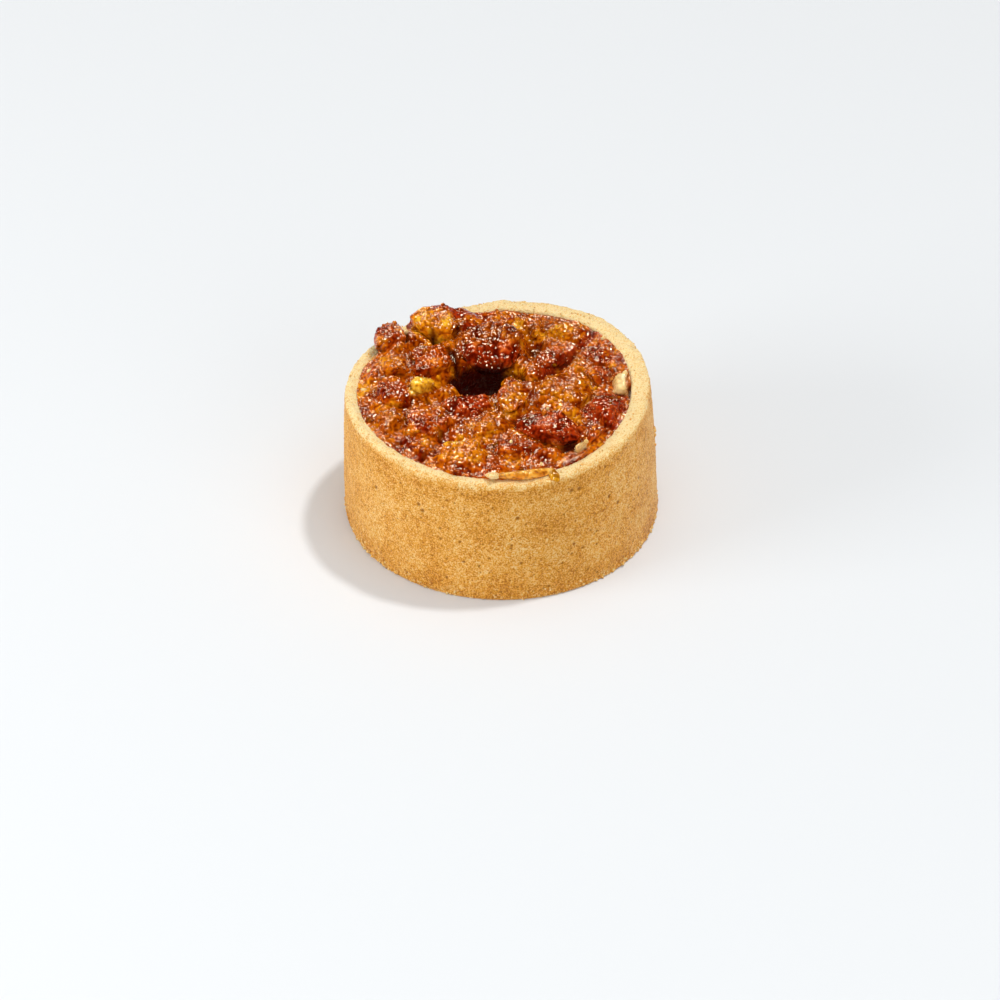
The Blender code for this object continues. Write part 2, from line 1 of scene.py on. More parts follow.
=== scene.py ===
# %% [markdown]
# A small pecan tart. A straight-sided shortcrust case is filled to the brim with chopped pecans in
# baked caramel. The solids of the case, the filling and each large piece of nut come from the frame
# in metres. This lesson dresses them: it makes fine meshes over the same forms, then finishes them.

# %% Load the frame
import json
import math
import random

import bmesh
import bpy
import numpy as np
from mathutils import Euler, Matrix, Vector, noise
from mathutils.bvhtree import BVHTree


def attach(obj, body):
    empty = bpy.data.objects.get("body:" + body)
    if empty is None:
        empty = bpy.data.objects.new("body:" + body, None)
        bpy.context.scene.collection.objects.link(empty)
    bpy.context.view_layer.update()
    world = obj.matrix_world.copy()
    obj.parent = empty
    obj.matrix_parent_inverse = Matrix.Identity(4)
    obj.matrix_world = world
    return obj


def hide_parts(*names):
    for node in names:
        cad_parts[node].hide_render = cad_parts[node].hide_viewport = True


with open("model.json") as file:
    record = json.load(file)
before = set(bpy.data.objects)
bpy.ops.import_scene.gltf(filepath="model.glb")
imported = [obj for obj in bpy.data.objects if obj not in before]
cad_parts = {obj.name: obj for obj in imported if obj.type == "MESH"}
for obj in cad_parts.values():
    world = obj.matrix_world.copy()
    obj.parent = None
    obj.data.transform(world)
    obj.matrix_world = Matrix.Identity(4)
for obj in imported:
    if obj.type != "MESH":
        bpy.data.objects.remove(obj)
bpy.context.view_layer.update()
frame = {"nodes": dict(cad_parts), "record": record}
nodes = frame["nodes"]
nut_names = sorted(name for name in nodes if name.startswith("pecan_"))
MM = 0.001
print("solids", len(nodes), "of which nuts", len(nut_names))

# %% [markdown]
# Everything that follows asks the same things of a mesh: where its points are, how high it stands at
# some place, and how uneven a real one is there. Rays cast at a search tree answer the second, and
# smooth noise the third.

# %% Helpers for points, rays and noise
HIGH_ABOVE = 100 * MM
DOWN = Vector((0.0, 0.0, -1.0))
UP = Vector((0.0, 0.0, 1.0))


def read(data, name, width):
    """One row of numbers for each item of some mesh data, such as its points."""
    flat = np.zeros(width * len(data))
    data.foreach_get(name, flat)
    return flat.reshape(-1, width)


def points_of(mesh):
    return read(mesh.vertices, "co", 3)


def normals_of(mesh):
    return read(mesh.vertices, "normal", 3)


def move_points(mesh, points):
    mesh.vertices.foreach_set("co", points.ravel())
    mesh.update()


def noise_at(points, size, seed=0):
    """Smooth noise between about -1 and 1 at each point. Size is one number, or one for each axis."""
    places = points / np.array(size) + seed * np.array((7.31, 3.17, 5.73))
    return np.array([noise.noise(place) for place in places.tolist()])


def relief(points, layers):
    """The sum of layers of noise, each given by its size, its depth and its seed."""
    return sum(depth * noise_at(points, size, seed) for size, depth, seed in layers)


def cells_at(points, size):
    """Splits space into random cells. Gives each point its distance to the middle of its cell and to
    the next cell, in cell sizes, and a random number that is the same all over the cell."""
    found = []
    for place in (points / size).tolist():
        distances, middles = noise.voronoi(place)
        found.append((distances[0], distances[1] - distances[0], noise.cell(13.7 * middles[0])))
    return np.array(found).T


def step(low, high, values):
    """A smooth step from 0 to 1 between two values."""
    share = np.clip((values - low) / (high - low), 0.0, 1.0)
    return share * share * (3.0 - 2.0 * share)


def tree_of(*meshes):
    """One search tree over the faces of several meshes."""
    points, faces = [], []
    for mesh in meshes:
        first = len(points)
        points += [vertex.co.copy() for vertex in mesh.vertices]
        faces += [[first + index for index in face.vertices] for face in mesh.polygons]
    return BVHTree.FromPolygons(points, faces)


def add_to_scene(name, data):
    thing = bpy.data.objects.new(name, data)
    bpy.context.scene.collection.objects.link(thing)
    return thing


def new_piece(name, points, faces):
    """A new mesh object from points and faces, shaded smooth."""
    mesh = bpy.data.meshes.new(name)
    mesh.from_pydata(np.asarray(points).tolist(), [], faces)
    mesh.shade_smooth()
    return add_to_scene(name, mesh)


def paint(mesh, name, values):
    """Keeps one number or one colour for each point, which a material can read."""
    values = np.asarray(values, dtype=np.float32)
    if values.ndim == 1:
        mesh.attributes.new(name, "FLOAT", "POINT").data.foreach_set("value", values)
    else:
        full = np.insert(values, 3, 1.0, axis=1).ravel()
        mesh.color_attributes.new(name, "FLOAT_COLOR", "POINT").data.foreach_set("color", full)


case_tree = tree_of(nodes["pastry_case"].data)
filling_tree = tree_of(nodes["caramel_filling"].data)
nuts_tree = tree_of(*[nodes[name].data for name in nut_names])
print("faces of the frame", sum(len(node.data.polygons) for node in nodes.values()))

# %% [markdown]
# The camera stands as far off as for a packshot, some 37 degrees above the table, with a long lens
# that keeps the walls nearly parallel.

# %% Camera
VIEW_DISTANCE = 1.2
VIEW_ELEVATION = math.radians(37.5)
VIEW_TARGET = Vector((-0.368 * MM, 0.0, 0.370 * MM))
VIEW_LENS = 165.9
NEAREST_SEEN = 0.1

camera = add_to_scene("camera", bpy.data.cameras.new("camera"))
camera.data.lens = VIEW_LENS
camera.data.clip_start = NEAREST_SEEN
back_off = Vector((0.0, -math.cos(VIEW_ELEVATION), math.sin(VIEW_ELEVATION)))
camera.location = VIEW_TARGET + VIEW_DISTANCE * back_off
camera.rotation_euler = (math.radians(90.0) - VIEW_ELEVATION, 0.0, 0.0)
bpy.context.scene.camera = camera
print("lens", VIEW_LENS, "distance", VIEW_DISTANCE)

# %% [markdown]
# A window high on the right and a little behind gives the shadow. Three large soft lamps and a white
# world stand for the pale surroundings. They are kept out of reflections, which would veil the dark
# caramel. One broad bright lamp shows only in reflections, as the glints on the wet sugar. Each lamp
# has a direction, a distance, a size and a power.

# %% Lamps
WINDOW_FROM = Vector((0.84, 0.55, 2.60)).normalized()
WINDOW_STRENGTH = 1.25
WINDOW_ANGLE = 5.0
FILL_COLOUR = (0.93, 0.975, 1.0)
FILLS = [("left_fill", (-1.0, -0.35, 0.28), 1.0, 0.5, 6.2),
         ("front_fill", (0.75, -1.0, 0.45), 1.2, 0.9, 3.5),
         ("top_fill", (0.1, -0.1, 1.0), 1.2, 1.2, 4.0)]
SPARKLE = ("sparkle", (-0.3, 0.6, 1.2), 1.2, 0.48, 31.0)
SPARKLE_COLOUR = (1.0, 0.85, 0.60)
SURROUND = {"Color": (0.97, 0.985, 1.0, 1.0), "Strength": 0.42}


def set_inputs(node, values):
    """Sets inputs of a node, each to a value or to what another node puts out."""
    for name, value in values.items():
        if isinstance(value, bpy.types.NodeSocket):
            node.id_data.links.new(value, node.inputs[name])
        else:
            node.inputs[name].default_value = value


def add_lamp(colour, name, direction, distance, size, power):
    """A square lamp that looks at the tart from one direction."""
    lamp = bpy.data.lights.new(name, "AREA")
    lamp.size = size
    lamp.energy = power
    lamp.color = colour
    thing = add_to_scene(name, lamp)
    thing.location = Vector(direction).normalized() * distance
    thing.rotation_euler = (-Vector(direction)).to_track_quat("-Z", "Y").to_euler()
    return thing


window = add_to_scene("window", bpy.data.lights.new("window", "SUN"))
window.data.energy = WINDOW_STRENGTH
window.data.angle = math.radians(WINDOW_ANGLE)
window.rotation_euler = (-WINDOW_FROM).to_track_quat("-Z", "Y").to_euler()
window.visible_glossy = False
for fill in FILLS:
    add_lamp(FILL_COLOUR, *fill).visible_glossy = False
add_lamp(SPARKLE_COLOUR, *SPARKLE).visible_diffuse = False

world = bpy.data.worlds.new("surroundings")
world.use_nodes = True
set_inputs(world.node_tree.nodes["Background"], SURROUND)
bpy.context.scene.world = world
world.cycles_visibility.glossy = False
bpy.context.scene.view_settings.view_transform = "Standard"
print("lamps", len(FILLS) + 2)

# %% [markdown]
# The floor is one large pale square. It is matt, so that it takes the soft shadow and nothing else.

# %% Floor
FLOOR_CORNERS = [(-3, -3, 0), (3, -3, 0), (3, 3, 0), (-3, 3, 0)]
FLOOR_FINISH = {"Base Color": (0.77, 0.775, 0.78, 1.0), "Roughness": 0.9, "Specular IOR Level": 0.1}


def new_finish(name, settings):
    """A material whose shader has some inputs set, with its node tree and the shader."""
    material = bpy.data.materials.new(name)
    material.use_nodes = True
    shader = material.node_tree.nodes["Principled BSDF"]
    set_inputs(shader, settings)
    return material, material.node_tree, shader


floor = new_piece("floor", FLOOR_CORNERS, [(0, 1, 2, 3)])
floor.data.materials.append(new_finish("pale_floor", FLOOR_FINISH)[0])
print("floor corners in metres", FLOOR_CORNERS)

# %% [markdown]
# The case is shortcrust, pressed by hand into a ring and baked. Each point of a fine turned grid is
# placed by a ray at the solid, so that the grid takes over its leaning, uneven form. The rows are
# close on the wall and the rim, which show, and wide apart inside and underneath.

# %% Grid of the case
CRUST_STEPS = 680
CRUST_WALL_ROWS = 88
CRUST_RIM_ROWS = 14
CRUST_INNER_ROWS = 9
FOOT = 0.45 * MM
RIM_EDGE = 1.0 * MM
INNER_DEPTH = 6.0 * MM
CASE_FLOOR = 5.2 * MM
HIGH_ON_WALL = 30 * MM
INNER_HEIGHTS = (20 * MM, CASE_FLOOR + 1.6 * MM)
UNDERSIDE_RINGS = (0.3, 0.7, 0.96)
FLOOR_RINGS = (0.94, 0.6, 0.2)
OUTSIDE = 60 * MM


def around(angle, radius, height):
    """The place in one direction from the middle of the tart, as x, y and z."""
    return np.array((radius * math.cos(angle), radius * math.sin(angle), height))


def wall_outside(angle, height):
    """Radius of the outside of the case."""
    away = Vector(around(angle, 1.0, 0.0))
    hit = case_tree.ray_cast(away * OUTSIDE + UP * height, -away)
    return OUTSIDE - hit[3]


def wall_inside(angle, height):
    """Radius of the inside of the case."""
    away = Vector(around(angle, 1.0, 0.0))
    return case_tree.ray_cast(UP * height, away)[3]


def case_top(angle, radius):
    """Height of the rim at one radius."""
    return HIGH_ABOVE - case_tree.ray_cast(Vector(around(angle, radius, HIGH_ABOVE)), DOWN)[3]


def all_round(measure, places):
    """One measure of the case in every direction, at one height or radius, or at one for each."""
    places = np.broadcast_to(places, CRUST_STEPS)
    return np.array([measure(angle, place) for angle, place in zip(angles, places)])


angles = [math.tau * turn / CRUST_STEPS for turn in range(CRUST_STEPS)]
rim_middle = 0.5 * (all_round(wall_outside, HIGH_ON_WALL) + all_round(wall_inside, HIGH_ON_WALL))
rim_top = all_round(case_top, rim_middle)
rim_outer = all_round(wall_outside, rim_top - RIM_EDGE)
rim_inner = all_round(wall_inside, rim_top - RIM_EDGE)
print("rim", round(rim_top.min() / MM, 1), "to", round(rim_top.max() / MM, 1), "mm high")


def by_direction(values, x, y):
    """Reads values that are kept for each direction round the case, at any places."""
    return np.interp(np.arctan2(y, x) % math.tau, angles, values, period=math.tau)


def crust_rows():
    """The rows of the grid as radius and height round the case, from the underside to the floor."""
    foot = all_round(wall_outside, FOOT)
    level = np.zeros(CRUST_STEPS)
    rows = [(share * foot, level) for share in UNDERSIDE_RINGS]
    rows.append((foot - 0.3 * FOOT, level + 0.2 * FOOT))
    for share in np.linspace(0.0, 1.0, CRUST_WALL_ROWS):
        heights = FOOT + share * (rim_top - RIM_EDGE - FOOT)
        rows.append((all_round(wall_outside, heights), heights))
    for share in np.linspace(0.0, 1.0, CRUST_RIM_ROWS + 2)[1:-1]:
        radii = rim_outer + share * (rim_inner - rim_outer)
        rows.append((radii, all_round(case_top, radii)))
    for share in np.linspace(0.0, 1.0, CRUST_INNER_ROWS):
        heights = rim_top - RIM_EDGE - share * INNER_DEPTH
        rows.append((all_round(wall_inside, heights), heights))
    rows += [(all_round(wall_inside, height), level + height) for height in INNER_HEIGHTS]
    return rows + [(share * rim_inner, level + CASE_FLOOR) for share in FLOOR_RINGS]


def crust_grid():
    """Points and faces of the case, one ring of quads between two rows and a cap at each end."""
    rows = crust_rows()
    points = [(radii * np.cos(angles), radii * np.sin(angles), heights) for radii, heights in rows]
    number = np.arange(len(rows) * CRUST_STEPS).reshape(len(rows), CRUST_STEPS)
    after = np.roll(number, -1, axis=1)
    quads = np.stack((number[:-1], after[:-1], after[1:], number[1:]), axis=-1).reshape(-1, 4)
    caps = [number[0, ::-1].tolist(), number[-1].tolist()]
    return np.hstack(points).T, quads.tolist() + caps


crust = new_piece("shortcrust_case", *crust_grid())
print("case", len(crust.data.vertices), "points")

# %% [markdown]
# Baked shortcrust is never smooth. Butter leaves low swells, flour and sugar a sandy grain, and gas
# small dark pits. The cut rim is wavy, and the foot crumbles where it left the ring. Each is a small
# move of the points along their normals. Most pits fall at seeded random places, and the few large
# ones are listed.

# %% Relief of the case
CRUST_LAYERS = [(9.0 * MM, 0.14 * MM, 1), (2.6 * MM, 0.09 * MM, 2),
                ((3.4 * MM, 3.4 * MM, 0.8 * MM), 0.055 * MM, 3), (0.95 * MM, 0.10 * MM, 4)]
RIM_LAYERS = [(2.6 * MM, 0.26 * MM, 6), (1.1 * MM, 0.12 * MM, 7)]
RIM_RELIEF_FROM = (-2.4 * MM, -0.6 * MM)
OUTSIDE_FROM = (33 * MM, 37 * MM)
UNDERSIDE_TO = (0.3 * MM, 1.2 * MM)
SAND = 0.03 * MM
SAND_SEED = 3
FOOT_CRUMBLE = (1.5 * MM, 0.42 * MM)
FOOT_CRUMBLE_DEEPEST = -0.4
FOOT_CRUMBLE_FADES = (1.28 * MM, 3.2 * MM)
PIT_COUNT = 300
PIT_RADIUS = (0.26 * MM, 0.48 * MM)
PIT_DEPTH = 0.75
PIT_HEIGHTS = (2 * MM, 33 * MM)
PIT_SEED = 5
PIT_CROWDS = (0.62, 0.38, 0.7)
LARGE_PITS = [(-142.3, 23.3), (-121.6, 25.0), (-119.9, 23.5), (-41.6, 19.8), (-62.6, 29.6),
              (-59.3, 29.3), (-45.9, 23.1), (-84.0, 24.5), (35.0, 18.0), (120.0, 26.0)]
LARGE_PIT_RADIUS = 0.6 * MM


def pit_places():
    """Middle and radius of each pit on the wall: seeded ones, more of them on the right."""
    draw = random.Random(PIT_SEED)
    places = []
    while len(places) < PIT_COUNT:
        angle = math.tau * draw.random()
        if draw.random() > PIT_CROWDS[0] + PIT_CROWDS[1] * math.cos(angle + PIT_CROWDS[2]):
            continue
        height = draw.uniform(*PIT_HEIGHTS)
        size = np.interp(draw.random() ** 3, (0, 1), PIT_RADIUS)
        places.append((angle, height, size))
    places += [(math.radians(turn), height * MM, LARGE_PIT_RADIUS) for turn, height in LARGE_PITS]
    return places


def pits_at(points):
    """How deep in a pit each point lies, from 0 to 1, and how far it sinks."""
    inside = np.zeros(len(points))
    sink = np.zeros(len(points))
    for angle, height, size in pit_places():
        middle = around(angle, wall_outside(angle, height), height)
        near = np.nonzero(np.abs(points - middle).max(axis=1) < 2.5 * size)[0]
        away = np.linalg.norm(points[near] - middle, axis=1) / size
        depth = np.exp(-away ** 2)
        inside[near] = np.maximum(inside[near], depth)
        sink[near] = np.maximum(sink[near], PIT_DEPTH * size * depth)
    return inside, sink


def roughen_crust(mesh):
    points, normals = points_of(mesh), normals_of(mesh)
    x, y, heights = points.T.copy()
    move = relief(points, CRUST_LAYERS)
    foot = 1.0 - step(*FOOT_CRUMBLE_FADES, heights)
    crumble = np.maximum(noise_at(points, FOOT_CRUMBLE[0], 5), FOOT_CRUMBLE_DEEPEST)
    move += FOOT_CRUMBLE[1] * foot * crumble
    move += step(*RIM_RELIEF_FROM, heights - by_direction(rim_top, x, y)) * relief(points, RIM_LAYERS)
    sand = np.random.default_rng(SAND_SEED).normal(0.0, SAND, len(points))
    inside, sink = pits_at(points)
    move = (move + sand - sink) * step(*OUTSIDE_FROM, np.hypot(x, y)) * step(*UNDERSIDE_TO, heights)
    points += normals * move[:, None]
    points[:, 2] = np.maximum(points[:, 2], 0.0)
    move_points(mesh, points)
    return inside


pit_shares = roughen_crust(crust.data)
print("pits", PIT_COUNT + len(LARGE_PITS))

# %% [markdown]
# The oven browns what stands out and faces the hot ring, and leaves the rim pale. A material can't
# tell which is which, so the browning is worked out here and kept as one number for each point,
# which the material reads.

# %% Browning of the case
RIM_BAND = 1.6 * MM
EDGE_WANDER = (4.0 * MM, 0.35 * MM, 11)
FACES_OUT = (0.25, 0.8)
TOASTED_BELOW_RIM = 3.4 * MM
TOASTED_WIDTH = 1.28 * MM
TOASTED_MORE = 0.2
PATCHES_BROWN = (7 * MM, 0.3, 13)
FOOT_BROWN = 0.22
FOOT_BROWN_FADES = (1.0 * MM, 9.0 * MM)
OUTER_RIM = (0.40, 1.0)
OUTER_RIM_BROWNS = (0.12, 0.56)


def brown_crust(mesh, pits):
    """Paints how brown each point is: 0 is the cream rim, 1 the golden wall, more is toasted."""
    points, normals = points_of(mesh), normals_of(mesh)
    x, y, heights = points.T
    radii = np.hypot(x, y)
    below_rim = by_direction(rim_top, x, y) - heights
    edge_noise = relief(points, [EDGE_WANDER])
    outward = (normals[:, :2] * points[:, :2]).sum(axis=1) / radii
    wall = step(*FACES_OUT, outward) * step(0.0, RIM_BAND, below_rim + edge_noise)
    toasted = TOASTED_MORE * np.exp(-((below_rim - TOASTED_BELOW_RIM) / TOASTED_WIDTH) ** 2)
    toasted *= 0.6 + noise_at(points, 5 * MM, 12)
    foot = FOOT_BROWN * (1.0 - step(*FOOT_BROWN_FADES, heights))
    wall *= 1.0 + toasted + relief(points, [PATCHES_BROWN]) + foot
    inner_edge, outer_edge = by_direction(rim_inner, x, y), by_direction(rim_outer, x, y)
    across = (radii - inner_edge) / (outer_edge - inner_edge)
    faces_camera = step(0.3, 1.0, -y / radii)
    rim = step(*OUTER_RIM, across + edge_noise / MM) * np.interp(faces_camera, (0, 1), OUTER_RIM_BROWNS)
    browning = np.maximum(wall, rim)
    paint(mesh, "browning", browning)
    paint(mesh, "pit", pits)
    print("browning up to", round(float(browning.max()), 2))


brown_crust(crust.data, pit_shares)

# %% [markdown]
# A baked finish is a few colours mixed by a few textures. Small helpers add one node each, so that
# the recipe stays easy to read. Sizes are real ones, as the textures are laid out in metres.

# %% Helpers for materials
def add_node(tree, kind, inputs, **settings):
    """Adds a node. Its inputs are given by name or by number."""
    node = tree.nodes.new("ShaderNode" + kind)
    for name, value in settings.items():
        setattr(node, name, value)
    set_inputs(node, inputs)
    return node


def place_coordinates(tree):
    return add_node(tree, "TexCoord", {}).outputs["Object"]


def attribute(tree, name, output="Fac"):
    """Reads what is painted on the points: a number, or a colour from the output Color."""
    return add_node(tree, "Attribute", {}, attribute_name=name).outputs[output]


def noise_texture(tree, place, size, detail=2.0, roughness=0.5):
    inputs = {"Vector": place, "Scale": 1.0 / size, "Detail": detail, "Roughness": roughness}
    return add_node(tree, "TexNoise", inputs).outputs["Fac"]


def cells_texture(tree, place, size):
    return add_node(tree, "TexVoronoi", {"Vector": place, "Scale": 1.0 / size}).outputs["Distance"]


def as_factor(tree, value, low, high):
    """Stretches a value so that low becomes 0 and high becomes 1."""
    inputs = {"Value": value, "From Min": low, "From Max": high}
    return add_node(tree, "MapRange", inputs).outputs["Result"]


def ramp(tree, factor, stops):
    """A colour ramp from (place, colour) stops."""
    node = add_node(tree, "ValToRGB", {"Fac": factor})
    elements = node.color_ramp.elements
    while len(elements) < len(stops):
        elements.new(0.5)
    for element, (place, colour) in zip(elements, stops):
        element.position = place
        element.color = (*colour, 1.0)
    return node.outputs["Color"]


def calculate(tree, operation, first, second, third=0.0):
    values = {0: first, 1: second, 2: third}
    return add_node(tree, "Math", values, operation=operation).outputs["Value"]


def mix(tree, factor, first, second, blend="MIX"):
    """Mixes two colours. The node's inputs 6 and 7 and its output 2 are the ones for colours."""
    values = {0: factor, 6: first, 7: second}
    return add_node(tree, "Mix", values, data_type="RGBA", blend_type=blend).outputs[2]


def bump(tree, height, depth, **below):
    """A bump of one depth in metres, laid over the normal below it."""
    return add_node(tree, "Bump", {"Height": height, "Distance": depth} | below).outputs["Normal"]


print("helpers for materials are ready")

# %% [markdown]
# Shortcrust is matt, with a sandy grain of pale flour and browned sugar. Two textures of grain are
# laid over the browning, one broad and one as fine as sand, and the pits are painted darker brown, as
# shade. A little light goes into the crumb, which softens the edge of the rim.

# %% Finish of the case
CREAM = (0.92, 0.69, 0.33)
PALE_GOLD = (0.84, 0.53, 0.19)
GOLD = (0.76, 0.335, 0.036)
TOAST = (0.44, 0.145, 0.008)
SPECK_BROWN_AND_PIT_SHADE = (0.36, 0.125, 0.008, 1.0)
GRAIN = (0.40 * MM, 1.0, 0.6)
GRAIN_CONTRAST = 1.25
GRAIN_BUMP = 0.30 * MM
PATCH = (1.5 * MM, 2.0, 0.5)
PATCH_CONTRAST = 0.45
PATCH_BUMP = 0.45 * MM
SPECK_SPACING = 1.7 * MM
SPECK_CROWDS = 2.6 * MM
CRUST_FINISH = {"Roughness": 0.82, "Specular IOR Level": 0.25,
                "Sheen Weight": 0.16, "Sheen Roughness": 0.5, "Subsurface Weight": 0.15,
                "Subsurface Radius": (1.0, 0.55, 0.25), "Subsurface Scale": 0.8 * MM}


def shortcrust_finish():
    material, tree, shader = new_finish("shortcrust", CRUST_FINISH)
    place = place_coordinates(tree)
    browned = attribute(tree, "browning")
    grain, patches = noise_texture(tree, place, *GRAIN), noise_texture(tree, place, *PATCH)
    for texture, contrast in ((grain, GRAIN_CONTRAST), (patches, PATCH_CONTRAST)):
        spread = as_factor(tree, texture, 0.3, 0.7)
        uneven = calculate(tree, "MULTIPLY_ADD", spread, contrast, -0.5 * contrast)
        browned = calculate(tree, "ADD", browned, uneven)
    halved = calculate(tree, "MULTIPLY", browned, 0.5)
    base = ramp(tree, halved, [(0.0, CREAM), (0.2, PALE_GOLD), (0.5, GOLD), (0.85, TOAST)])
    specks = as_factor(tree, cells_texture(tree, place, SPECK_SPACING), 0.15, 0.07)
    some = as_factor(tree, noise_texture(tree, place, SPECK_CROWDS), 0.5, 0.6)
    speckled = mix(tree, calculate(tree, "MULTIPLY", specks, some), base, SPECK_BROWN_AND_PIT_SHADE)
    # Painted shade: the pits turn the same dark brown as the specks.
    in_pit = as_factor(tree, attribute(tree, "pit"), 0.25, 0.7)
    colour = mix(tree, in_pit, speckled, SPECK_BROWN_AND_PIT_SHADE)
    rough = bump(tree, grain, GRAIN_BUMP, Normal=bump(tree, patches, PATCH_BUMP))
    set_inputs(shader, {"Base Color": colour, "Normal": rough})
    return material


shortcrust = shortcrust_finish()
crust.data.materials.append(shortcrust)
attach(crust, "root")
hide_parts("pastry_case")
print("case finished")

# %% [markdown]
# The filling is one fused mass of nut, smaller bits and caramel under a crust of sugar. So the relief
# is worked out from the place in space alone: nuts and caramel move alike, and the bits run on across
# the seams. Random cells make the bits: each is a low dome with a crease all round it.

# %% Relief of the baked sugar
LUMPS = (5.5 * MM, 0.50 * MM, 21)
BITS = (3.4 * MM, 0.50 * MM)
CRUMBS = (1.5 * MM, 0.16 * MM)
SUGAR_GRAIN = (1.00 * MM, 0.10 * MM)
CELL_BEND = (1.8 * MM, 0.6 * MM)
MEAN_DISTANCE = 0.45
PATCHES = 3.6 * MM


def sugar_relief(points):
    """How far the sugar crust moves each point, how bright its bit is, and how near a crease it is."""
    bends = [noise_at(points, CELL_BEND[0], seed) for seed in (31, 32, 33)]
    bent = points + CELL_BEND[1] * np.column_stack(bends)
    bit_middle, bit_border, bit_tone = cells_at(bent, BITS[0])
    crumb_middle, crumb_border, crumb_tone = cells_at(bent, CRUMBS[0])
    grain = noise_at(points, SUGAR_GRAIN[0], 22)
    move = relief(points, [LUMPS])
    move += BITS[1] * (MEAN_DISTANCE - bit_middle) + CRUMBS[1] * (MEAN_DISTANCE - crumb_middle)
    move += SUGAR_GRAIN[1] * grain
    # The brightness also follows the grain's height, lighter on its rises and darker in its dips: partly
    # thicker syrup in the dips, partly painted shade and light.
    brightness = 1.1 * noise_at(points, PATCHES, 23) + 0.4 * bit_tone + 0.15 * crumb_tone + 0.5 * grain
    crease = np.maximum(1.0 - bit_border / 0.16, 0.6 - crumb_border / 0.3)
    return move, brightness, np.clip(crease, 0.0, 1.0)


print("bits of", BITS[0] / MM, "mm, crumbs of", CRUMBS[0] / MM, "mm")

# %% Holes between the bits
HOLES = [
    ((-17.7, 18.1), (-17.0, 16.1), 1.0, 2.4), ((-14.0, 13.5), (-11.2, 7.4), 1.1, 2.4),
    ((7.2, 15.9), (7.6, 14.6), 0.9, 2.2), ((22.6, 20.0), (17.8, 12.8), 1.1, 0.5),
    ((17.8, 12.8), (8.6, 3.4), 1.2, 0.7), ((3.2, 22.4), (7.8, 24.2), 0.7, 0.7),
    ((10.4, -22.6), (11.6, -23.4), 0.8, 1.8), ((15.8, -23.9), (18.6, -23.7), 1.1, 2.8),
    ((32.7, -0.5), (33.4, -8.5), 0.6, 1.6), ((-19.1, -4.4), (-18.5, -5.0), 0.6, 1.2),
    ((-15.7, -20.5), (-15.4, -19.0), 0.7, 1.2), ((-19.9, -27.1), (-19.4, -26.9), 0.7, 1.2),
    ((-25.6, -21.3), (-25.0, -21.3), 0.5, 0.8), ((3.0, -29.1), (4.2, -28.4), 0.6, 0.9),
    ((15.0, -31.6), (16.2, -30.9), 0.7, 1.2)]
HOLE_WANDER = (1.4 * MM, 0.4 * MM, 41)


def near_line(places, start, end):
    """Distance of each place, seen from above, to the line between two ends in millimetres."""
    start, end = np.array(start) * MM, np.array(end) * MM
    along = end - start
    share = np.clip((places - start) @ along / (along @ along), 0.0, 1.0)
    return np.linalg.norm(places - start - share[:, None] * along, axis=1)


def holes_at(points):
    """How deep in a hole each point lies, from 0 to 1, and how far it sinks. A hole has two ends."""
    inside = np.zeros(len(points))
    sink = np.zeros(len(points))
    wander = relief(points, [HOLE_WANDER])
    for start, end, radius, depth in HOLES:
        away = near_line(points[:, :2], start, end)
        depth_here = np.exp(-(np.maximum(away + wander, 0.0) / (radius * MM)) ** 2)
        inside = np.maximum(inside, depth_here * min(0.5 * depth, 1.0))
        sink = np.maximum(sink, depth * MM * depth_here)
    return inside, sink


print("holes", len(HOLES))

# %% [markdown]
# Each nut solid has the right size and lies in the right place but has flat facets. A voxel remesh
# gives it even small faces and a smooth rounds the facets off. The form stays that of the solid.

# %% Nuts
NUT_VOXEL = 0.26 * MM
NUT_SMOOTHING = 6


def remeshed(name, source):
    """A copy of a mesh as even small faces, with its edges rounded."""
    piece = add_to_scene(name, source.copy())
    voxels = piece.modifiers.new("voxels", "REMESH")
    voxels.mode = "VOXEL"
    voxels.voxel_size = NUT_VOXEL
    soften = piece.modifiers.new("soften", "SMOOTH")
    soften.iterations = NUT_SMOOTHING
    bpy.context.view_layer.update()
    evaluated = piece.evaluated_get(bpy.context.evaluated_depsgraph_get())
    mesh = bpy.data.meshes.new_from_object(evaluated)
    mesh.name = name
    piece.modifiers.clear()
    piece.data = mesh
    mesh.materials.clear()
    mesh.shade_smooth()
    return piece


nuts = [remeshed("glazed_" + name, nodes[name].data) for name in nut_names]
print("nuts", len(nuts), "with", sum(len(nut.data.vertices) for nut in nuts), "points")

# %% [markdown]
# Between the nuts stands caramel that boiled up, clung to their sides and set. Seen from above it is
# one uneven sheet, so a height for each place on a fine grid describes it: the height of the solid,
# raised to a little under the top of each nut, then blurred so that it climbs the nuts in soft
# curves. Where a nut hangs over a pit the caramel stays down, and the pit stays open.

# %% Grid over the filling
CARAMEL_SPACING = 0.25 * MM
GRID_REACH = 39 * MM
EDGE_MARGIN = 0.8 * MM
NO_FILLING = 30 * MM
UNDERSIDE_START = 0.5 * MM

line = np.arange(-GRID_REACH, GRID_REACH, CARAMEL_SPACING)
grid_x, grid_y = np.meshgrid(line, line, indexing="ij")
grid_radius = np.hypot(grid_x, grid_y)
inner_wall = np.maximum(all_round(wall_inside, HIGH_ON_WALL), rim_inner)
wall_radius = by_direction(inner_wall, grid_x, grid_y)
edge_pull = np.minimum(1.0, (wall_radius - EDGE_MARGIN) / np.maximum(grid_radius, MM))


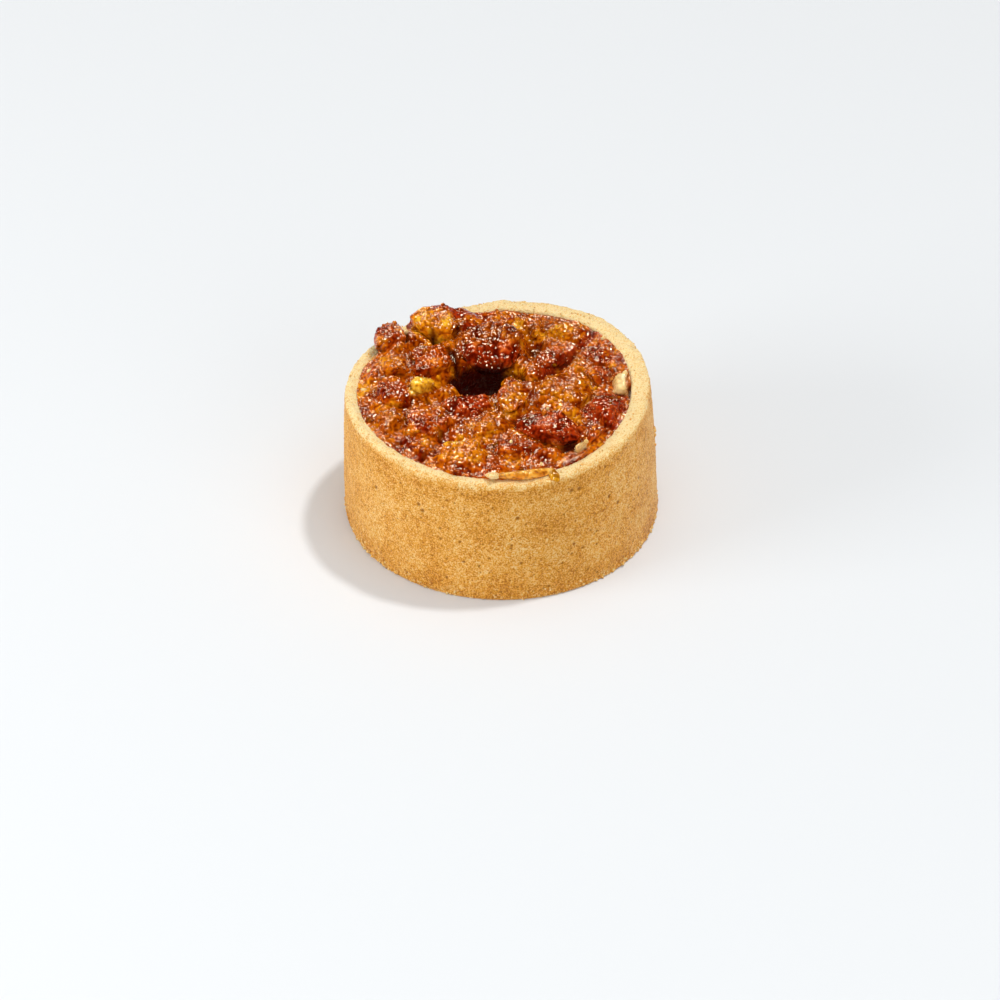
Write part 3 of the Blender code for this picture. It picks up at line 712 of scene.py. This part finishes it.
def seen_from_above(tree, missing, pull):
    """Height and number of the first face under each place of the grid. Pull draws the place
    towards the middle first, so that places beyond an edge take over what lies at the edge."""
    heights = np.full(grid_x.shape, missing)
    faces = np.full(grid_x.shape, -1)
    for row, column in np.argwhere(np.hypot(grid_x, grid_y) < GRID_REACH):
        place = Vector((grid_x[row, column], grid_y[row, column], 0.0)) * pull[row, column]
        hit = tree.ray_cast(place + UP * HIGH_ABOVE, DOWN)
        if hit[0] is not None:
            heights[row, column] = HIGH_ABOVE - hit[3]
            faces[row, column] = hit[2]
    return heights, faces


def nut_undersides(start):
    """Height of the underside of a nut over each place of the grid, seen from a start height."""
    found = np.array(start)
    for row, column in np.argwhere(nut_heights > 0.0):
        place = Vector((grid_x[row, column], grid_y[row, column], start[row, column]))
        distance = nuts_tree.ray_cast(place, UP)[3]
        if distance is not None:
            found[row, column] = start[row, column] + distance
    return found


filling_heights = seen_from_above(filling_tree, NO_FILLING, edge_pull)[0]
nut_heights, nut_faces = seen_from_above(nuts_tree, 0.0, np.ones(grid_x.shape))
last_faces = np.cumsum([len(nodes[name].data.polygons) for name in nut_names])
nut_number = np.where(nut_faces < 0, len(nuts), np.searchsorted(last_faces, nut_faces, side="right"))
undersides = nut_undersides(filling_heights - UNDERSIDE_START)
print("places with a nut", int((nut_number < len(nuts)).sum()))

# %% Heights of the caramel
STAND_OUT = {"pecan_half_centre": 2.8, "pecan_half_right_front": 2.2, "pecan_golden_back_left": 0.9,
             "pecan_pale_chip_right": 2.0, "pecan_yellow_chip": 1.3, "pecan_pale_chip_front": 2.4,
             "pecan_golden_centre_right": 0.9}
STAND_OUT_OTHERS = 0.30
OVERHANG = (0.8 * MM, 2.0 * MM)
BURIED_BACK = (14.0 * MM, 20.0 * MM)
BURIED_STANDS_OUT = 0.4 * MM
CARAMEL_BLUR = 10
BELOW_RIM = 0.5 * MM
EDGE_WIDTH = 3.5 * MM
ABOVE_RIM = 0.3 * MM
EDGE_SLOPE = 1.3
EDGE_BLUR = 2
SURROUNDINGS = 8


def blurred(values, times, reach=1):
    """Each place becomes the mean of itself and its neighbours, several times over."""
    for _ in range(times):
        for axis in (0, 1):
            before, after = np.roll(values, reach, axis), np.roll(values, -reach, axis)
            values = 0.5 * values + 0.25 * (before + after)
    return values


stand_outs = [STAND_OUT.get(name, STAND_OUT_OTHERS) * MM for name in nut_names]
stand_out = np.array(stand_outs + [0.0])[nut_number]
buried = step(*BURIED_BACK, grid_y) * (nut_number == nut_names.index("pecan_half_centre"))
stand_out = stand_out * (1.0 - buried) + BURIED_STANDS_OUT * buried
overhanging = step(*OVERHANG, undersides - filling_heights)
raised = np.where(nut_heights > 0.0, nut_heights - stand_out, 0.0)
raised = raised * (1.0 - overhanging) + filling_heights * overhanging
near_case = step(-EDGE_WIDTH, 0.0, grid_radius - wall_radius)
rim_level = by_direction(rim_top, grid_x, grid_y)
edge_raised = filling_heights + near_case * np.maximum(0.0, rim_level - BELOW_RIM - filling_heights)
caramel_heights = blurred(np.maximum(edge_raised, raised), CARAMEL_BLUR)
edge_limit = rim_level + ABOVE_RIM + EDGE_SLOPE * np.maximum(0.0, wall_radius - grid_radius)
caramel_heights = blurred(np.minimum(caramel_heights, edge_limit), EDGE_BLUR)
broad_heights = blurred(np.maximum(filling_heights, nut_heights), SURROUNDINGS, SURROUNDINGS)
print("caramel from", round(float(caramel_heights.min()) / MM, 1), "mm")

# %% [markdown]
# The grid of heights becomes a mesh: the squares inside the case are kept, out to just inside the
# pastry, so that no gap shows. A skirt and a base close the body.

# %% Caramel
CARAMEL_BASE = 5.5 * MM
INTO_PASTRY = 0.3 * MM


def caramel_sheet():
    """Points and faces of the top of the caramel, cut to the inside of the case."""
    kept = grid_radius < wall_radius + INTO_PASTRY
    number = np.full(grid_x.shape, -1)
    number[kept] = np.arange(kept.sum())
    corners = np.stack((number[:-1, :-1], number[1:, :-1], number[1:, 1:], number[:-1, 1:]), axis=-1)
    whole = (corners >= 0).all(axis=-1)
    points = np.column_stack((grid_x[kept], grid_y[kept], caramel_heights[kept]))
    return points, [tuple(face) for face in corners[whole].tolist()]


def close_below(piece, depth):
    """Gives an open sheet a skirt down to one height, and a base."""
    solid = bmesh.new()
    solid.from_mesh(piece.data)
    loose = [vertex for vertex in solid.verts if not vertex.link_faces]
    bmesh.ops.delete(solid, geom=loose, context="VERTS")
    rim = [edge for edge in solid.edges if edge.is_boundary]
    skirt = bmesh.ops.extrude_edge_only(solid, edges=rim)["geom"]
    for vertex in [part for part in skirt if isinstance(part, bmesh.types.BMVert)]:
        vertex.co.z = depth
    rim = [edge for edge in solid.edges if edge.is_boundary]
    bmesh.ops.contextual_create(solid, geom=rim)
    bmesh.ops.recalc_face_normals(solid, faces=solid.faces)
    solid.to_mesh(piece.data)
    solid.free()


caramel = new_piece("glazed_caramel", *caramel_sheet())
print("caramel", len(caramel.data.vertices), "points")

# %% [markdown]
# Colour goes with the bits. Each kind of nut has a deep, a body and a bright tone. The tones are
# spread over the grid by the nut that lies there and blurred, so that the caramel takes on the colour
# of its neighbours. Spots of another tone are listed where small bits show in the photograph.
# The random cells of the relief choose between the three tones, and creases are painted darker,
# partly as syrup that collects there and partly as painted shade.

# %% Tones
TONES = {
    "pecan_golden": ((0.43, 0.07, 0.001), (0.7, 0.215, 0.003), (0.9, 0.46, 0.025)),
    "pecan_amber": ((0.26, 0.021, 0.0), (0.5, 0.106, 0.001), (0.76, 0.285, 0.008)),
    "pecan_red_brown": ((0.17, 0.006, 0.0), (0.46, 0.058, 0.001), (0.76, 0.23, 0.008)),
    "pecan_dark_skin": ((0.1, 0.003, 0.0), (0.37, 0.025, 0.002), (0.62, 0.12, 0.02)),
    "pecan_yellow": ((0.74, 0.27, 0.006), (0.94, 0.52, 0.04), (0.98, 0.7, 0.12)),
    "pecan_pale": ((0.74, 0.4, 0.11), (0.92, 0.66, 0.29), (0.96, 0.8, 0.48)),
    "caramel": ((0.2, 0.01, 0.0), (0.55, 0.108, 0.001), (0.8, 0.31, 0.008)),
}
TONE_BLUR = 8
CREASE_SYRUP_AND_SHADE = 0.38
OWN_TONE = (-0.3 * MM, 0.8 * MM)
TONE_WANDER = (2.4 * MM, 1.3 * MM)
SPOT_FADES = (0.5, 1.3)
# Two of the dark skin spots are painted shade: along the groove from (10.0, 5.6) to (24.4, 21.5), and
# along the front rim under the nut sliver.
TONE_SPOTS = {
    "pecan_dark_skin": [((-16.5, 27.5), (-11.5, 25.5), 2.6), ((10.0, 5.6), (24.4, 21.5), 1.3),
                        ((30.2, -3.5), (29.0, -14.5), 2.2), ((-3.0, -36.6), (8.0, -36.2), 1.2)],
    "pecan_red_brown": [((-24.5, 26.5), (-22.5, 24.5), 2.2), ((-33.5, 22.0), (-28.0, 16.5), 3.6),
                        ((-6.0, 24.5), (-2.0, 23.0), 3.0), ((-1.0, -2.5), (0.5, -6.5), 1.2),
                        ((-16.5, -18.0), (-13.0, -21.0), 2.6), ((-5.2, -32.5), (-2.0, -31.0), 2.4),
                        ((-35.2, 7.5), (-34.0, 5.5), 2.0)],
    "pecan_golden": [((-21.5, 20.8), (-18.5, 20.0), 2.2), ((5.0, 27.0), (9.0, 26.5), 2.0),
                     ((12.5, 22.8), (17.0, 22.0), 2.4), ((-29.5, 9.8), (-27.0, 8.4), 2.4)],
}

slot_of = {row["node"]: row["material_slot"] for row in frame["record"]["subparts"]}
tone_table = np.array([TONES[slot_of[name]] for name in nut_names] + [TONES["caramel"]])
tone_grid = blurred(tone_table[nut_number], TONE_BLUR)
grid_places = np.column_stack((grid_x.ravel(), grid_y.ravel()))
for spot_tone, rows in TONE_SPOTS.items():
    for start, end, radius in rows:
        away = near_line(grid_places, start, end).reshape(grid_x.shape)
        share = (1.0 - step(*SPOT_FADES, away / (radius * MM)))[:, :, None, None]
        tone_grid = share * np.array(TONES[spot_tone]) + (1.0 - share) * tone_grid


def grid_value(values, points):
    """Reads a grid of values at any points, between its places."""
    spots = np.clip((points[:, :2] + GRID_REACH) / CARAMEL_SPACING, 0, len(line) - 1.001)
    row, column = spots.astype(int).T
    shares = (spots - spots.astype(int)).reshape(-1, 2, *[1] * (values.ndim - 2))
    share, across = shares[:, 0], shares[:, 1]
    low = values[row, column] * (1 - share) + values[row + 1, column] * share
    high = values[row, column + 1] * (1 - share) + values[row + 1, column + 1] * share
    return low * (1 - across) + high * across


def wandering(points):
    """The points moved sideways by noise, so that colours read there have uneven borders."""
    moves = [TONE_WANDER[1] * noise_at(points, TONE_WANDER[0], seed) for seed in (35, 36)]
    return points[:, :2] + np.column_stack(moves)


def mixed_tones(tones, brightness):
    """One colour for each point from its three tones and a brightness from -1 to 1."""
    low = np.clip(-brightness, 0.0, 1.0)[:, None]
    high = np.clip(brightness, 0.0, 1.0)[:, None]
    return tones[:, 0] * low + tones[:, 1] * (1.0 - low - high) + tones[:, 2] * high


print("tones", len(TONES), "and spots", sum(len(rows) for rows in TONE_SPOTS.values()))

# %% [markdown]
# Now the relief and the tones go onto every piece of the filling. Places deep between the nuts, the
# holes, the pit, the caramel under overhanging nuts and the undersides of the nuts are painted
# nearly black, as painted shade.

# %% Relief and tones on the filling
SHADE_DEPTH = (2.2 * MM, 4.0 * MM)
RELIEF_SHARE = {"pecan_half_centre": 0.6, "pecan_half_right_front": 0.5, "pecan_yellow_chip": 0.3,
                "pecan_pale_chip_right": 0.5, "pecan_pale_chip_front": 0.4}
SHADE_SHARE = {"pecan_pale_chip_right": 0.3, "pecan_pale_chip_front": 0.5}
SKIN_DIRECTION = {"pecan_half_centre": 84.0, "pecan_half_right_front": -16.0}
SKIN_WRINKLES = ((5.0 * MM, 1.2 * MM, 1.4 * MM), 0.50 * MM, 71)
SUGARED = {"pecan_half_centre": (13.5 * MM, 17.0 * MM), "pecan_half_right_front": (-17 * MM, -9 * MM)}
SUGARED_TONES = np.array(((0.13, 0.007, 0.0), (0.33, 0.05, 0.001), (0.58, 0.165, 0.006)))
UNDERNEATH = (-0.5, -0.1)
UNDERSIDE_SHADE = 0.9
# Painted shade in the deep pit in front of the centre half: its middle, half sizes and the heights it
# fades out between.
PIT_SHADE_AREA = ((-3.6 * MM, 4.4 * MM), (10.2 * MM, 7.0 * MM), (35.0 * MM, 37.2 * MM))
UNDER_NUTS_BLUR = 8
# Painted shade on the caramel under the nuts that hang over it.
shade_under_nuts = np.clip(2.0 * blurred(overhanging, UNDER_NUTS_BLUR), 0.0, 1.0)


def skin_wrinkles(points, direction):
    """The lengthwise wrinkles of a pecan half that lies in one direction."""
    turn = Matrix.Rotation(-math.radians(direction), 3, "Z")
    return relief(points @ np.array(turn).T, [SKIN_WRINKLES])


def pit_shade(points):
    """How far each point lies inside the deep pit in front of the centre half, where shade is painted."""
    middle, half_sizes, heights = PIT_SHADE_AREA
    away = np.hypot(*((points[:, :2] - middle) / half_sizes).T)
    return (1.0 - step(0.85, 1.15, away)) * (1.0 - step(*heights, points[:, 2]))


def dress(mesh, own_tones, name=""):
    """Moves the points of one piece and paints its tones and the shade painted in its hollows."""
    points, normals = points_of(mesh), normals_of(mesh)
    move, brightness, crease = sugar_relief(points)
    move *= RELIEF_SHARE.get(name, 1.0)
    if name in SKIN_DIRECTION:
        wrinkles = skin_wrinkles(points, SKIN_DIRECTION[name])
        move += wrinkles
        brightness += wrinkles / SKIN_WRINKLES[1]
    inside, sink = holes_at(points)
    above = points[:, 2] - grid_value(caramel_heights, points)
    depth = grid_value(broad_heights, points) - points[:, 2]
    # Painted shade: deep below the surroundings, in the holes and in the pit before the centre half.
    painted_shade = np.maximum.reduce([step(*SHADE_DEPTH, depth), inside, pit_shade(points)])
    if name:
        # Painted shade on the undersides of the nuts, where they face down.
        painted_shade = np.maximum(painted_shade, UNDERSIDE_SHADE * (1.0 - step(*UNDERNEATH, normals[:, 2])))
        painted_shade *= SHADE_SHARE.get(name, 1.0)
    else:
        # Painted shade on the caramel under overhanging nuts.
        painted_shade = np.maximum(painted_shade, grid_value(shade_under_nuts, points))
    own = step(*OWN_TONE, above)[:, None, None] * (name in RELIEF_SHARE)
    tones = own * own_tones + (1.0 - own) * grid_value(tone_grid, wandering(points))
    if name in SUGARED:
        sugared = step(*SUGARED[name], points[:, 1])[:, None, None]
        tones = sugared * SUGARED_TONES + (1.0 - sugared) * tones
    # Creases are painted darker: partly syrup that collects there, partly painted shade.
    paint(mesh, "tone", mixed_tones(tones, brightness - CREASE_SYRUP_AND_SHADE * crease))
    paint(mesh, "painted_shade", painted_shade)
    points += normals * move[:, None]
    points[:, 2] -= sink
    move_points(mesh, points)


dress(caramel.data, tone_table[-1])
for nut, own_tones, name in zip(nuts, tone_table, nut_names):
    dress(nut.data, own_tones, name)
close_below(caramel, CARAMEL_BASE)
print("dressed", len(nuts) + 1, "pieces")

# %% [markdown]
# Baked sugar glitters because each wet wrinkle mirrors the light at one spot. So the body is matt, in
# the painted tones, under a clear glossy coat with much steeper wrinkles. One texture drives both. It
# also darkens the body in its valleys and lightens it on its crests, partly as thicker syrup in the
# valleys and partly as painted shade and light, so that dark spots lie beside the glints. The brightest
# tones, of broken nut, are shaded less, as little syrup covers them.

# %% Finish of caramel and nuts
GLAZE_WRINKLES = 0.80 * MM
BODY_BUMP = 0.12 * MM
COAT_BUMP = 0.65 * MM
# The nearly black of the painted shade.
SHADE_BLACK = (0.034, 0.0014, 0.0006, 1.0)
SHADED_BELOW = (0.80, 0.22)
SYRUP_AND_SHADE_RAMP = [(0.30, (0.46, 0.27, 0.12)), (0.5, (0.90, 0.82, 0.70)), (0.7, (1.25, 1.25, 1.05))]
GLAZE_FINISH = {"Roughness": 0.5, "Specular IOR Level": 0.0, "Coat Weight": 1.0,
                "Coat Roughness": 0.05, "Subsurface Weight": 0.12,
                "Subsurface Radius": (1.0, 0.35, 0.1), "Subsurface Scale": 0.8 * MM}


def glazed_finish():
    material, tree, shader = new_finish("baked_sugar", GLAZE_FINISH)
    wrinkles = noise_texture(tree, place_coordinates(tree), GLAZE_WRINKLES, 0.0)
    # Darker in the valleys of the wrinkles and lighter on their crests: partly thicker syrup, partly
    # painted shade and light.
    syrup_and_shade = ramp(tree, wrinkles, SYRUP_AND_SHADE_RAMP)
    tone = attribute(tree, "tone", "Color")
    not_bright = as_factor(tree, tone, *SHADED_BELOW)
    shaded = mix(tree, not_bright, tone, syrup_and_shade, "MULTIPLY")
    # Painted shade: the places painted as shade turn nearly black.
    colour = mix(tree, attribute(tree, "painted_shade"), shaded, SHADE_BLACK)
    body, coat = bump(tree, wrinkles, BODY_BUMP), bump(tree, wrinkles, COAT_BUMP)
    set_inputs(shader, {"Base Color": colour, "Normal": body, "Coat Normal": coat})
    return material


baked_sugar = glazed_finish()
for nut, name in zip(nuts, nut_names):
    nut.data.materials.append(baked_sugar)
    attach(nut, "root")
    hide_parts(name)
caramel.data.materials.append(baked_sugar)
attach(caramel, "root")
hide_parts("caramel_filling")
print("filling finished")

# %% [markdown]
# Loose things finish the filling: grains of sugar on it, and small bits of nut pressed into it. They
# are real meshes, because a bump can't break an outline or throw a shadow. Seeded draws choose a
# point of the surface for each.

# %% Helpers for scattered things
EIGHT_FACES = [(0, 2, 4), (2, 1, 4), (1, 3, 4), (3, 0, 4), (2, 0, 5), (1, 2, 5), (3, 1, 5), (0, 3, 5)]
SIX_POINTS = np.kron(np.eye(3), [[1.0], [-1.0]])


def round_stone(subdivisions=2):
    """Points and faces of a ball, of 42 points or more, to be dented into crumbs."""
    ball = bmesh.new()
    bmesh.ops.create_icosphere(ball, subdivisions=subdivisions, radius=1.0)
    points = np.array([tuple(vertex.co) for vertex in ball.verts])
    faces = [tuple(vertex.index for vertex in face.verts) for face in ball.faces]
    ball.free()
    return points, faces


def turned(points, draw):
    """The points turned to a random direction."""
    spin = Euler([draw.uniform(0.0, math.tau) for _ in range(3)]).to_matrix()
    return points @ np.array(spin)


def broken(stone, draw, dent, dent_size, flattest):
    """The points of a stone, dented, flattened and turned at random."""
    dents = dent * noise_at(stone + 9.0 * draw.random(), dent_size)
    flat = np.array((1.0, draw.uniform(0.6, 0.9), draw.uniform(0.4, flattest)))
    return turned(stone * (1.0 + dents)[:, None] * flat, draw)


def scatter(name, shape, places, make, finish):
    """One mesh of many copies of a shape. Make gives the points of a copy at each place."""
    base, base_faces = shape
    points, faces = [], []
    for number, place in enumerate(places):
        first = number * len(base)
        points.append(make(base, place))
        faces += [tuple(first + index for index in face) for face in base_faces]
    piece = new_piece(name, np.vstack(points), faces)
    piece.data.materials.append(finish)
    return piece


# Grains and crumbs go only where the surface faces up, lies near the top and is not painted as shade.
OPEN_NORMAL = 0.05
OPEN_DEPTH = 1.2 * MM
OPEN_SHADE_LIMIT = 0.3


def open_points():
    """Points of the filling that can be seen from above, with their tones."""
    found = []
    for piece in [caramel] + nuts:
        points, normals = points_of(piece.data), normals_of(piece.data)
        top = grid_value(np.maximum(caramel_heights, nut_heights), points)
        tones = read(piece.data.color_attributes["tone"].data, "color", 4)[:, :3]
        painted_shade = read(piece.data.attributes["painted_shade"].data, "value", 1)[:, 0]
        kept = (normals[:, 2] > OPEN_NORMAL) & (points[:, 2] > top - OPEN_DEPTH) & (painted_shade < OPEN_SHADE_LIMIT)
        found.append(np.hstack((points, normals, tones))[kept])
    return np.vstack(found)


surface = open_points()
print("open points", len(surface))

# %% Grains of sugar
CRYSTAL_COUNT = 1900
CRYSTAL_SIZE = (0.12 * MM, 0.24 * MM)
CRYSTAL_GLINT_SHARE = 0.75
CRYSTAL_GLINT_PALE = np.array((0.95, 0.60, 0.34))
CRYSTAL_CROWDS = 4.0 * MM
CRYSTAL_SEED = 11


def crystal_places(draw):
    """Places for the grains, more of them in some patches."""
    crowd = noise_at(surface[:, :3], CRYSTAL_CROWDS, 51)
    places = []
    while len(places) < CRYSTAL_COUNT:
        number = draw.randrange(len(surface))
        if draw.random() < 0.45 + 1.4 * crowd[number]:
            places.append(surface[number])
    return places


def crystal(base, place):
    size = crystal_draw.uniform(*CRYSTAL_SIZE)
    stretch = np.array((1.0, 0.8, crystal_draw.uniform(0.7, 1.3)))
    return place[:3] + size * turned(base * stretch, crystal_draw) + 0.3 * size * place[3:6]


crystal_draw = random.Random(CRYSTAL_SEED)
spots = crystal_places(crystal_draw)
crystals = scatter("sugar_crystals", (SIX_POINTS, EIGHT_FACES), spots, crystal, baked_sugar)
crystals.data.shade_flat()
crystal_tones = np.repeat(np.array(spots)[:, 6:9], len(SIX_POINTS), axis=0)
# The grains are painted paler than the surface under them: partly pale sugar, partly painted glints.
paint(crystals.data, "tone", crystal_tones + CRYSTAL_GLINT_SHARE * (CRYSTAL_GLINT_PALE - crystal_tones))
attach(crystals, "root")
print("crystals", CRYSTAL_COUNT)

# %% Crumbs of nut
NUT_CRUMB_COUNT = 160
NUT_CRUMB_SIZE = (0.35 * MM, 1.05 * MM)
NUT_CRUMB_SEED = 12
NUT_CRUMB_PALER = 0.12
CRUMB_CLEARANCE = 0.9 * MM
PALE_BITS = [(-35.2, 0.6, 0.9), (2.5, -24.4, 0.8), (26.2, 19.0, 0.8), (11.7, -8.4, 0.7),
             (-34.0, 6.7, 0.7), (-24.8, 20.9, 0.9), (10.0, -30.2, 0.7), (31.5, 3.8, 1.0)]


def crumb_place(draw):
    size = np.interp(draw.random() ** 2, (0, 1), NUT_CRUMB_SIZE)
    spot = surface[draw.randrange(len(surface))]
    return spot, size, NUT_CRUMB_PALER * (1.0 - spot[6:9]) * (1.0, 0.5, 0.0) + spot[6:9]


def clear_of_case(places):
    """The places that lie clear of the pastry, inwards or above it."""
    spots = np.array([spot[:3] for spot, _, _ in places])
    inwards = grid_value(wall_radius - grid_radius, spots)
    above = spots[:, 2] - grid_value(rim_level, spots)
    return [places[number] for number in np.flatnonzero(np.maximum(inwards, above) > CRUMB_CLEARANCE)]


def pale_place(x, y, size):
    """The point of the surface that is nearest to a listed place."""
    nearest = np.hypot(surface[:, 0] - x * MM, surface[:, 1] - y * MM).argmin()
    return surface[nearest], size * MM, np.array(TONES["pecan_pale"][1])


def nut_crumb(base, place):
    spot, size, _ = place
    return spot[:3] + size * broken(base, crumb_draw, 0.32, 0.9, 0.7)


crumb_draw = random.Random(NUT_CRUMB_SEED)
crumb_places = clear_of_case([crumb_place(crumb_draw) for _ in range(NUT_CRUMB_COUNT)])
crumb_places += [pale_place(*bit) for bit in PALE_BITS]
nut_crumbs = scatter("nut_crumbs", round_stone(), crumb_places, nut_crumb, baked_sugar)
crumb_tones = np.repeat(np.array([tone for _, _, tone in crumb_places]), len(round_stone()[0]), axis=0)
paint(nut_crumbs.data, "tone", crumb_tones)
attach(nut_crumbs, "root")
print("nut crumbs", len(crumb_places))

# %% [markdown]
# Three single things lie on the front of the rim: a golden sliver of nut against its inner edge, a
# flake of pastry at the left end of that, and a drip of caramel that ran over. Each is a round stone
# of more points, drawn out and laid along the rim.

# %% Sliver, flake and drip on the rim
SLIVER_TONES = ((0.5, 0.11, 0.004), (0.8, 0.33, 0.03), (0.93, 0.6, 0.18))
DRIP_TONES = ((0.36, 0.11, 0.002), (0.58, 0.24, 0.006), (0.76, 0.43, 0.05))
ON_RIM = {
    "nut_sliver": (-80.4, 35.0, 0.8, (7.4, 1.9, 1.2), -22.0),
    "rim_flake": (-93.6, 35.2, 0.9, (1.7, 2.6, 0.9), -35.0),
    "caramel_drip": (-68.8, 36.4, 0.05, (1.3, 2.5, 0.6), 8.0),
}


def laid_out(name):
    """A stone laid along the rim: its direction, distance, lift and half sizes along, across and up.
    It leans by some degrees: its outer side is the low one where they are negative."""
    direction, radius, lift, half_sizes, lean = ON_RIM[name]
    direction = math.radians(direction)
    base, faces = round_stone(4)
    dented = base * (1.0 + 0.25 * noise_at(base, 0.8, 81))[:, None] * np.array(half_sizes) * MM
    along, across, up = (dented @ np.array(Matrix.Rotation(math.radians(lean), 3, "X")).T).T
    turns, radii = direction + along / (radius * MM), radius * MM - across
    heights = np.interp(direction % math.tau, angles, rim_top) + lift * MM + up
    points = np.column_stack((radii * np.cos(turns), radii * np.sin(turns), heights))
    piece = new_piece(name, points, faces)
    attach(piece, "root")
    return piece, points


for name, tones, slot in (("nut_sliver", SLIVER_TONES, "pecan_golden"),
                          ("caramel_drip", DRIP_TONES, "caramel")):
    piece, points = laid_out(name)
    brightness = 1.2 * noise_at(points, 1.5 * MM, 82)
    paint(piece.data, "tone", mixed_tones(np.repeat([tones], len(points), axis=0), brightness))
    piece.data.materials.append(baked_sugar)
flake, points = laid_out("rim_flake")
paint(flake.data, "browning", 0.25 + 0.3 * noise_at(points, 1.5 * MM, 83))
flake.data.materials.append(shortcrust)
print("on the rim", len(ON_RIM))

# %% [markdown]
# Shortcrust sheds crumbs. They cling to the foot, where it left the ring, and to the edges of the
# rim. A few larger flakes stand where the photograph shows them.

# %% Crumbs of pastry
FOOT_CRUMBS = 420
RIM_CRUMBS = 260
PASTRY_CRUMB_SEED = 13
FOOT_CRUMB_SIZE = (0.18 * MM, 0.50 * MM)
RIM_CRUMB_SIZE = (0.14 * MM, 0.34 * MM)
FLAKES = [(-147.0, 0.9, 1.0), (-143.5, 0.8, 0.8), (-137.6, 1.0, 0.9), (-131.0, 0.9, 0.8),
          (-41.0, 0.8, 0.8), (-28.0, 1.2, 0.7), (-2.0, 24.0, 0.9), (-4.0, 25.6, 0.7),
          (-1.0, 22.0, 0.8), (-3.0, 20.0, 0.6)]


def wall_spot(angle, height, size):
    return around(angle, wall_outside(angle, height), height), size


def rim_spot(angle, share, size):
    turn = int(angle / math.tau * CRUST_STEPS) % CRUST_STEPS
    radius = rim_outer[turn] + share * (rim_inner[turn] - rim_outer[turn])
    return around(angle, radius, case_top(angle, radius)), size


def pastry_crumb(base, place):
    spot, size = place
    points = spot + size * broken(base, pastry_draw, 0.4, 0.8, 0.8)
    points[:, 2] = np.maximum(points[:, 2], 0.0)
    return points


pastry_draw = random.Random(PASTRY_CRUMB_SEED)
spots = []
for _ in range(FOOT_CRUMBS):
    height = 0.3 * MM + 2.4 * MM * pastry_draw.random() ** 2
    spots.append(wall_spot(math.tau * pastry_draw.random(), height, pastry_draw.uniform(*FOOT_CRUMB_SIZE)))
for _ in range(RIM_CRUMBS):
    share = pastry_draw.choice((0.04, 0.1, 0.5, 0.85, 0.97)) + pastry_draw.uniform(-0.04, 0.04)
    spots.append(rim_spot(math.tau * pastry_draw.random(), share, pastry_draw.uniform(*RIM_CRUMB_SIZE)))
spots += [wall_spot(math.radians(turn), height * MM, size * MM) for turn, height, size in FLAKES]
pastry_crumbs = scatter("pastry_crumbs", round_stone(), spots, pastry_crumb, shortcrust)
crumb_points = points_of(pastry_crumbs.data)
paint(pastry_crumbs.data, "browning", 0.55 + 0.5 * noise_at(crumb_points, 2.0 * MM, 91))
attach(pastry_crumbs, "root")
print("pastry crumbs", len(spots))
